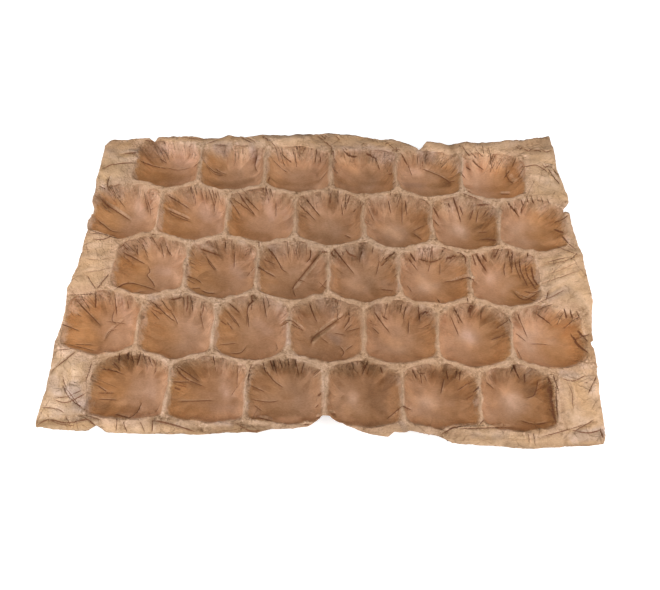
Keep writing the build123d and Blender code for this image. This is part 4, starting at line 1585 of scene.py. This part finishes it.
def addFineCreases(values, folds):
    draw = np.random.default_rng(values["seed"])
    for x, y, backSwing, frontSwing in pocketCentres:
        loop = cellLoop(backSwing, frontSwing)
        turns = np.arctan2(loop[:, 1], loop[:, 0])
        for _ in range(draw.integers(*values["clusters"])):
            turn = math.radians(draw.choice(values["cornerTurns"]) + draw.normal(0, values["turnSpread"]))
            border = loop[np.argmin(np.abs(np.angle(np.exp(1j * (turns - turn)))))]
            heading = math.atan2(-border[1], -border[0]) + draw.normal(0, values["skew"])
            aside = np.array([-math.sin(heading), math.cos(heading)])
            place = border * draw.uniform(*values["borderShares"]) + (x, y)
            for _ in range(draw.integers(*values["perCluster"])):
                addBentFold(place, heading + draw.normal(0, values["spread"]), values, draw, folds, fine=True)
                place = place + aside * draw.uniform(*values["apart"])
                place = place - border * draw.uniform(-values["drift"], values["drift"])


# crumples in the flat paper: creases that meet in a point
marginStars = {
    "count": 60,
    "tries": 900,
    "low": (-0.25, -0.162),
    "high": (0.25, 0.168),
    "rays": (2, 6),
    "lengths": (0.008, 0.034),
    "steps": 8,
    "halfWidths": (0.00025, 0.0005),
    "strengths": (0.1, 0.45),
    "bend": 12.0,
    "seed": 5,
}


def addMarginStars(values, folds):
    draw = np.random.default_rng(values["seed"])
    places = draw.uniform(values["low"], values["high"], (values["tries"], 2))
    for place in places[~inCells(places)][:values["count"]]:
        for turn in draw.uniform(0, 2 * math.pi, draw.integers(*values["rays"])):
            addBentFold(place, turn, values, draw, folds)


def mergeClose(points, values, edges, distance):
    tree = pointTree(points)
    stands = np.arange(len(points))
    for index in np.argsort(-values[:, 0], kind="stable"):
        if stands[index] != index:
            continue
        for _, other, _ in tree.find_range((points[index][0], points[index][1], 0), distance):
            if stands[other] == other:
                stands[other] = index
    kept = stands == np.arange(len(points))
    places = (np.cumsum(kept) - 1)[stands]
    joinedEdges = {tuple(sorted((int(places[first]), int(places[second])))) for first, second in edges}
    return points[kept], values[kept], sorted(edge for edge in joinedEdges if edge[0] != edge[1])


# Kraft paper: colours, then how strongly each layer shows, then the heights of the bump in metres
paper = {
    "ridgeColour": (0.57, 0.36, 0.226, 1),
    "pocketColour": (0.45, 0.245, 0.132, 1),
    "marginColour": (0.6, 0.385, 0.225, 1),
    "creaseShadeColour": (0.2, 0.07, 0.024, 1),
    "lipHighlightColour": (0.66, 0.45, 0.3, 1),
    "glowColour": (0.6, 0.4, 0.285, 1),
    "shadedWallTint": (1.02, 0.95, 0.73, 1),
    "litWallTint": (1.02, 1.03, 1.06, 1),
    "deeperShadeTint": (0.94, 0.92, 0.9, 1),
    "frontWallLightTint": (1.14, 1.14, 1.12, 1),
    "lowTint": (0.88, 0.84, 0.76, 1),
    "middleShadeTint": (0.92, 0.92, 0.92, 1),
    "backTint": (0.795, 0.755, 0.715, 1),
    "marginFacetShadeTint": (0.84, 0.84, 0.88, 1),
    "patchTint": (1.12, 0.98, 0.8, 1),
    "goldTint": (1.06, 1.0, 0.84, 1),
    "mauveTint": (0.94, 1.03, 1.3, 1),
    "deepShare": 0.8,
    "marginFacetShadeShare": 0.8,
    "patchShare": 0.35,
    "warmthShare": 0.6,
    "fineFacetShare": 0.6,
    "wrinkleShare": 0.4,
    "toneShade": 0.32,
    "toneWarmth": (0.92, 1.08, 1.4),
    "leastShade": 0.1,
    "seamShade": 0.22,
    "speckShade": 1.8,
    "meetingShade": 0.12,
    "facetShade": 0.31,
    "crushShade": 0.55,
    "draperyShade": 0.35,
    "streakShade": 0.3,
    "raggedness": 0.18,
    "pocketTop": 0.955,  # reach at which a pocket's brown ends
    "roughness": 0.72,
    "pleatHeight": 0.0016,
    "wrinkleHeight": -0.0006,
    "streakHeight": 0.0009,
    "draperyHeight": 0.004,
    "crushHeight": 0.003,
    "crinkleHeight": 0.0022,
    "fibreHeight": 0.00016,
    "seamHeight": -0.0005,
}

# Its noises: scale, detail and roughness
paperNoises = {
    "ragged": (110.0, 3.0, 0.6),
    "patch": (11.0, 3.0),
    "glow": (30.0, 1.0),
    "fibre": (420.0, 3.0, 0.65),
    "mottle": (70.0, 4.0, 0.6),
    "crush": (240.0, 3.0, 0.7),
    "drapery": (13.0, 2.0),
    "streak": (36.0, 2.0, 0.65),
    "speck": (380.0, 2.0, 0.6),
    "pleat": (9.0, 1.5),
    "crinkle": (330.0, 2.0, 0.6),
}

# Its cells and lines: scales and widths, and how the places that they read are bent
paperCells = {
    "pocketToneScale": 9.0,
    "cellBend": (60.0, 0.02),
    "cellScale": 42.0,
    "seamBend": (28.0, 0.012),
    "seamLayers": ((42.0, 0.05), (88.0, 0.07)),
    "facetFan": 0.8,
    "facetScale": 2.2,
    "fineFacetScale": 5.2,
    "streakFan": 0.6,
    "wallFan": 0.45,
    "wrinkleLayers": ((6.5, 38.0), (11.0, 46.0)),
    "wrinkleWidth": 0.018,
    "fibreStretch": (1.0, 2.2, 1.0),
    "cornerPlace": 0.82,
}

# Its windows: from, to, and the values there where they aren't 0 and 1
windows = {
    "pocketEdgeLitAtBack": (0.25, 0.75, 0.895, 0.7),
    "onMargin": (1.05, 1.3),
    "outerWall": (-0.04, 0.12),
    "innerWall": (0.04, -0.12),
    "rightSide": (0.0, 0.08),
    "amidst": (0.09, 0.02),
    "atBack": (0.125, 0.145),
    "backAcross": (0.0, -0.16, 0.6, 1.2),
    "frontFacing": (-0.2, -0.8),
    "frontReach": (0.5, 0.8),
    "lowRow": (-0.085, -0.1),
    "lowFacing": (0.0, 0.6),
    "lowReach": (0.98, 0.9),
    "lips": (0.1, 1.2, 0.0, 0.4),
    "pocketTone": (0.3, 0.7, -0.07, 0.07),
    "seamPatches": (0.5, 0.64),
    "patches": (0.35, 0.65),
    "glowReach": (0.62, 0.3),
    "glowPatches": (0.4, 0.65),
    "glowAcross": (-0.1, 0.14, 0.15, 0.42),
    "fibres": (0.25, 0.75, 0.9, 1.1),
    "mottle": (0.3, 0.7, -0.09, 0.09),
    "toneMottle": (0.3, 0.7, 0.8, 1.2),
    "ridgeReach": (0.8, 0.95),
    "ridgeOnly": (1.0, 0.5),
    "bottomReach": (0.8, 0.4),
    "bottomAcross": (0.03, 0.12, -0.1, 0.06),
    "backRow": (0.088, 0.096),
    "backRowTop": (1.0, 0.93),
    "backRowFoot": (0.35, 0.65),
    "backRowFacing": (0.5, -0.3, 0.17, -0.05),
    "besideCorner": (0.1, 0.02),
    "besideTip": (0.22, 0.05),
    "wrinklePatches": (0.54, 0.62),
    "darkness": (0.1, 0.53, 0.0, 0.9),
    "nearRidge": (0.72, 0.95, 0.25, 1.0),
}

# Bands up a pocket's wall: where they begin and end, and how they fade towards its front
wallBands = {
    "drapery": ((0.6, 0.85), (1.0, 0.95), (-0.7, 0.2, 0.4, 1.0)),
    "facets": ((0.42, 0.62), (1.0, 0.95), (-0.7, 0.2, 0.45, 1.0)),
    "streaks": ((0.72, 0.9), (1.0, 0.98), (-0.6, 0.3, 0.3, 1.0)),
    "wall": ((0.6, 0.85), (1.0, 0.95), (-0.6, 0.5, 0.3, 1.0)),
}


def makePaper(values):
    material = bpy.data.materials.new("kraftPaper")
    material.use_nodes = True
    tree = material.node_tree
    tree.nodes.clear()

    def read(label, kind="Fac"):
        return addNode(tree, "ShaderNodeAttribute", attribute_name=label).outputs[kind]

    def times(*parts):
        return product(tree, *parts)

    def window(label, value):
        return ramp(tree, value, *windows[label])

    def band(label):
        start, end, facing = wallBands[label]
        return times(ramp(tree, reach, *start), ramp(tree, reach, *end), ramp(tree, backness, *facing))

    def noiseOf(vector, scale, detail=2.0, roughness=0.5):
        return addNode(tree, "ShaderNodeTexNoise", {
            "Vector": vector, "Scale": scale, "Detail": detail, "Roughness": roughness}).outputs

    def swing(vector, label):
        return minus(tree, noiseOf(vector, *paperNoises[label])[0], 0.5)

    def bent(scale, amount):
        return vectorCalc(tree, "ADD", place, scaled(tree, noiseOf(place, scale, 1.0)["Color"], amount))

    def fanned(share):
        return vectorCalc(tree, "ADD", around, joined(tree, 0, 0, times(reach, share)))

    def cellTone(vector, scale, part):
        cells = addNode(tree, "ShaderNodeTexVoronoi", {"Vector": vector, "Scale": scale}).outputs["Color"]
        return parted(tree, cells)[part]

    def blend(factor, first, second, mode="MIX"):
        node = addNode(tree, "ShaderNodeMix", data_type="RGBA", blend_type=mode)
        feed(tree, node.inputs["Factor"], factor)
        feed(tree, node.inputs[6], first)
        feed(tree, node.inputs[7], second)
        return node.outputs[2]

    def tinted(share, label):
        return blend(share, colour, blend(1.0, colour, values[label], "MULTIPLY"))

    place = addNode(tree, "ShaderNodeTexCoord").outputs["Object"]
    reach, around = read("reach"), read("around", "Vector")
    sideness, backness, pocketNumber = parted(tree, around)
    across, upAlong, _ = parted(tree, place)
    ragged = total(tree, reach, times(swing(place, "ragged"), values["raggedness"]))
    # painted light: the pale ridge colour reaches further down the back walls than the front ones, lightening
    # their steep tops
    inPocket = ramp(tree, ragged, values["pocketTop"], window("pocketEdgeLitAtBack", backness))
    onMargin = window("onMargin", reach)
    colour = blend(inPocket, values["ridgeColour"], values["pocketColour"])
    colour = blend(onMargin, colour, values["marginColour"])

    # painted shade and light: walls on the outer side of each pocket, which face the middle, are painted
    # warmer and darker, most of all in the pockets at both ends; walls on the inner side are painted cooler,
    # and the shaded walls on the right half darker still
    outwards = times(sideness, reach, across)
    outerWall = window("outerWall", outwards)
    colour = tinted(times(outerWall, inPocket), "shadedWallTint")
    colour = tinted(times(window("innerWall", outwards), inPocket), "litWallTint")
    rightWall = times(outerWall, window("rightSide", across), inPocket)
    colour = tinted(times(rightWall, values["deepShare"]), "deeperShadeTint")
    # painted shade: the middle columns of the tray are darker
    colour = tinted(window("amidst", absolute(tree, across)), "middleShadeTint")
    colour = tinted(times(window("atBack", upAlong), onMargin, window("backAcross", across)), "backTint")
    # painted light: the pockets' front walls are lighter
    frontWall = times(window("frontFacing", backness), window("frontReach", reach), inPocket)
    colour = tinted(frontWall, "frontWallLightTint")
    lowRow = times(window("lowRow", upAlong), window("lowFacing", backness), window("lowReach", reach))
    colour = tinted(lowRow, "lowTint")
    # painted highlight: the raised lips beside the creases, and the raised soft folds, are lighter
    colour = blend(window("lips", read("lip")), colour, values["lipHighlightColour"])

    # painted shade: flat facets of the crumpled margins are painted darker and greyer cell by cell, with
    # painted shade along the seams between them
    cells = cellTone(bent(*paperCells["cellBend"]), paperCells["cellScale"], 0)
    colour = tinted(times(onMargin, cells, values["marginFacetShadeShare"]), "marginFacetShadeTint")
    seamPlace = bent(*paperCells["seamBend"])
    seams = []
    for scale, width in paperCells["seamLayers"]:
        seam = addNode(tree, "ShaderNodeTexVoronoi", {"Vector": seamPlace, "Scale": scale},
                       feature="DISTANCE_TO_EDGE").outputs["Distance"]
        patches = window("seamPatches", noiseOf(place, scale, 1.0)[0])
        seams.append(times(ramp(tree, seam, width, 0.0), patches))
    seams = times(calc(tree, "MAXIMUM", *seams), onMargin)

    # broad patches, from pinkish to yellowish
    patches = window("patches", noiseOf(place, *paperNoises["patch"])[0])
    colour = tinted(times(patches, values["patchShare"]), "patchTint")
    # painted sheen: a pale glow on the pocket bottoms, stronger to the right
    glow = window("glowPatches", noiseOf(place, *paperNoises["glow"])[0])
    glow = times(window("glowReach", reach), glow, window("glowAcross", across))
    colour = blend(glow, colour, values["glowColour"])

    # fibres, mottling, and a tone of its own for every pocket
    fibrePlace = vectorCalc(tree, "MULTIPLY", place, paperCells["fibreStretch"])
    fibres = noiseOf(fibrePlace, *paperNoises["fibre"])[0]
    mottle = noiseOf(place, *paperNoises["mottle"])[0]
    pocketPlace = scaled(tree, joined(tree, 0, 0, pocketNumber), paperCells["pocketToneScale"])
    pocketTone = times(window("pocketTone", noiseOf(pocketPlace, 1.0, 0.0)[0]), inPocket)
    shade = total(tree, window("fibres", fibres), window("mottle", mottle), pocketTone)

    # facets, listed one by one
    # painted light and shade of facets and folds, with greyer or warmer patches of the paper
    toned = times(read("tone"), times(window("toneMottle", mottle), values["toneShade"]))
    shade = minus(tree, total(tree, shade, toned), times(seams, values["seamShade"]))
    warmth = read("warmth")
    colour = tinted(times(warmth, values["warmthShare"]), "goldTint")
    colour = tinted(times(warmth, -values["warmthShare"]), "mauveTint")

    # painted light and shade on flat facets between the gathers, and on crinkled ridges
    facetPlace = fanned(paperCells["facetFan"])
    facets = minus(tree, cellTone(facetPlace, paperCells["facetScale"], 0), 0.5)
    fineFacets = minus(tree, cellTone(facetPlace, paperCells["fineFacetScale"], 1), 0.5)
    facets = total(tree, facets, times(fineFacets, values["fineFacetShare"]))
    onRidge = times(window("ridgeReach", reach), window("ridgeOnly", onMargin))
    crush = times(swing(place, "crush"), onRidge)
    shade = total(tree, shade, times(facets, band("facets"), values["facetShade"]),
                  times(crush, values["crushShade"]))

    # painted light and shade of crinkles that fan out from the ridges
    streakPlace = fanned(paperCells["streakFan"])
    drapery = times(swing(streakPlace, "drapery"), times(band("drapery"), values["draperyShade"]))
    streaks = times(swing(streakPlace, "streak"), band("streaks"))
    shade = total(tree, shade, drapery, times(streaks, values["streakShade"]))

    # painted light: bottoms are lighter at the right, and the back row is lit from its front
    low = times(window("bottomReach", reach), window("bottomAcross", across))
    backRow = times(window("backRow", upAlong), window("backRowTop", reach), window("backRowFoot", reach),
                    window("backRowFacing", backness))
    shade = total(tree, shade, low, backRow)

    # painted specks of light and shade where ridges meet, and painted shade over the meetings
    sideways = absolute(tree, sideness)
    besideCorner = window("besideCorner", absolute(tree, minus(tree, sideways, paperCells["cornerPlace"])))
    meeting = times(calc(tree, "MAXIMUM", besideCorner, window("besideTip", sideways)), onRidge)
    shade = total(tree, shade, times(swing(place, "speck"), meeting, values["speckShade"]))
    shade = minus(tree, shade, times(meeting, values["meetingShade"]))

    # painted shade and the paper's own mottling together: darker paper is warmer, lighter paper is pinker
    shade = calc(tree, "MAXIMUM", shade, values["leastShade"])
    shades = [calc(tree, "POWER", shade, power) for power in values["toneWarmth"]]
    shades = addNode(tree, "ShaderNodeCombineColor", dict(enumerate(shades))).outputs[0]
    colour = blend(1.0, colour, shades, "MULTIPLY")

    # painted shade in fine wrinkles that run down the walls, in patches
    wallPlace, onWall = fanned(paperCells["wallFan"]), band("wall")
    wrinkles = []
    for scale, patchScale in paperCells["wrinkleLayers"]:
        line = absolute(tree, minus(tree, noiseOf(wallPlace, scale, 1.0)[0], 0.5))
        patches = window("wrinklePatches", noiseOf(place, patchScale, 1.0)[0])
        wrinkles.append(times(ramp(tree, line, paperCells["wrinkleWidth"], 0.0), patches))
    wrinkles = times(calc(tree, "MAXIMUM", *wrinkles), onWall)
    colour = blend(times(wrinkles, values["wrinkleShare"]), colour, values["creaseShadeColour"])
    # painted shade in the creases
    colour = blend(window("darkness", read("crease")), colour, values["creaseShadeColour"])

    # height of the bump in metres: pleats on the walls, crinkles near the ridges, then the fibres
    pleats = times(absolute(tree, swing(wallPlace, "pleat")), onWall)
    crinkles = times(absolute(tree, swing(place, "crinkle")), window("nearRidge", reach))
    heights = {"pleatHeight": pleats, "wrinkleHeight": wrinkles, "streakHeight": streaks,
               "draperyHeight": drapery, "crushHeight": crush, "crinkleHeight": crinkles,
               "fibreHeight": fibres, "seamHeight": seams}
    bumpHeight = total(tree, *(times(layer, values[label]) for label, layer in heights.items()))
    bump = addNode(tree, "ShaderNodeBump", {
        "Strength": 1.0, "Distance": 1.0, "Height": bumpHeight}).outputs[0]
    shader = addNode(tree, "ShaderNodeBsdfPrincipled", {
        "Base Color": colour, "Roughness": values["roughness"], "Normal": bump}).outputs[0]
    addNode(tree, "ShaderNodeOutputMaterial", {"Surface": shader})
    return material


kraftPaper = makePaper(paper)
pressTree = buildPressTree(grain)

plainSheet = makeFlatSheet("plainSheet", np.zeros((0, 2)), np.zeros((0, 2)), [])
print("flat sheet", len(plainSheet.data.polygons))
firstPress = pressSheet(plainSheet, pressTree, latticeObject, kraftPaper)
print("first pressing done")
creasePoints, creaseValues, creaseEdges, softLines, toneLines = castCreases(plainSheet, firstPress)
creasedSheet = makeFlatSheet("creasedSheet", creasePoints, creaseValues, creaseEdges)
addSoftFolds(creasedSheet, softLines)
addTones(creasedSheet, toneLines)
print("creased sheet", len(creasedSheet.data.polygons))
pressedMesh = pressSheet(creasedSheet, pressTree, latticeObject, kraftPaper)

trayPaper = bpy.data.objects.new("trayPaper", pressedMesh)
scene.collection.objects.link(trayPaper)
pressedMesh.transform(Matrix.Translation(trayMiddle))
pressedMesh.shade_smooth()
for spent in (plainSheet, creasedSheet, latticeObject):
    bpy.data.objects.remove(spent)


# The paper's thickness, and a coarser underside
thickness = {"paper": 0.0006, "undersideShare": 0.22}


def thickenPaper(piece, values):
    topCount = len(piece.data.vertices)
    solidify = piece.modifiers.new("thickness", "SOLIDIFY")
    solidify.thickness = values["paper"]
    solidify.offset = -1
    mesh = bakedMesh(piece)
    piece.modifiers.clear()
    piece.data = mesh
    underside = piece.vertex_groups.new(name="underside")
    underside.add(list(range(topCount, len(mesh.vertices))), 1.0, "REPLACE")
    decimate = piece.modifiers.new("underside", "DECIMATE")
    decimate.vertex_group = "underside"
    decimate.ratio = (1 + values["undersideShare"]) / 2
    mesh = bakedMesh(piece)
    piece.modifiers.clear()
    piece.vertex_groups.clear()
    piece.data = mesh
    triangles = sum(len(polygon.vertices) - 2 for polygon in mesh.polygons)
    print("tray paper", len(mesh.vertices), "points", triangles, "triangles")


thickenPaper(trayPaper, thickness)
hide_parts("apple_tray")
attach(trayPaper, "root")


# Floor and light
studio = {
    "floorColour": (0.9, 0.9, 0.9, 1),
    "floorGlow": 0.5,
    "floorReach": 1.05,
    "white": (1, 1, 1, 1),
    "lampSize": 0.9,
    "lampPower": 8.4,
    "lampPlace": (0.74, -0.24, 0.62),
    "lampAim": (0, 0, 0.02),
    "fillStrength": 0.22,
}


def makeFloor(values):
    mesh = bpy.data.meshes.new("floor")
    reach = values["floorReach"]
    corners = [(-reach, -reach, 0), (reach, -reach, 0), (reach, reach, 0), (-reach, reach, 0)]
    mesh.from_pydata(corners, [], [(0, 1, 2, 3)])
    floor = bpy.data.objects.new("floor", mesh)
    scene.collection.objects.link(floor)
    material = bpy.data.materials.new("paleFloor")
    material.use_nodes = True
    tree = material.node_tree
    tree.nodes.clear()
    diffuse = addNode(tree, "ShaderNodeBsdfDiffuse", {"Color": values["floorColour"]}).outputs[0]
    seen = addNode(tree, "ShaderNodeLightPath").outputs["Is Camera Ray"]
    glow = addNode(tree, "ShaderNodeEmission", {
        "Color": values["white"], "Strength": product(tree, seen, values["floorGlow"])}).outputs[0]
    both = addNode(tree, "ShaderNodeAddShader", {0: diffuse, 1: glow}).outputs[0]
    addNode(tree, "ShaderNodeOutputMaterial", {"Surface": both})
    mesh.materials.append(material)


def makeLamps(values):
    for side in (-1, 1):
        data = bpy.data.lights.new("sideLamp", "AREA")
        data.shape = "RECTANGLE"
        data.size = data.size_y = values["lampSize"]
        data.energy = values["lampPower"]
        lamp = bpy.data.objects.new("sideLamp", data)
        place = Vector(values["lampPlace"])
        place.x *= side
        lamp.location = place
        lamp.rotation_euler = (Vector(values["lampAim"]) - place).to_track_quat("-Z", "Y").to_euler()
        scene.collection.objects.link(lamp)
    world = bpy.data.worlds.new("paleRoom")
    scene.world = world
    world.use_nodes = True
    background = world.node_tree.nodes["Background"]
    background.inputs["Color"].default_value = values["white"]
    seen = addNode(world.node_tree, "ShaderNodeLightPath").outputs["Is Camera Ray"]
    strength = addNode(world.node_tree, "ShaderNodeMapRange", {
        "Value": seen, "To Min": values["fillStrength"], "To Max": 1.0}).outputs["Result"]
    feed(world.node_tree, background.inputs["Strength"], strength)


makeFloor(studio)
makeLamps(studio)
scene.view_settings.view_transform = "Standard"
print("floor and lamps made")
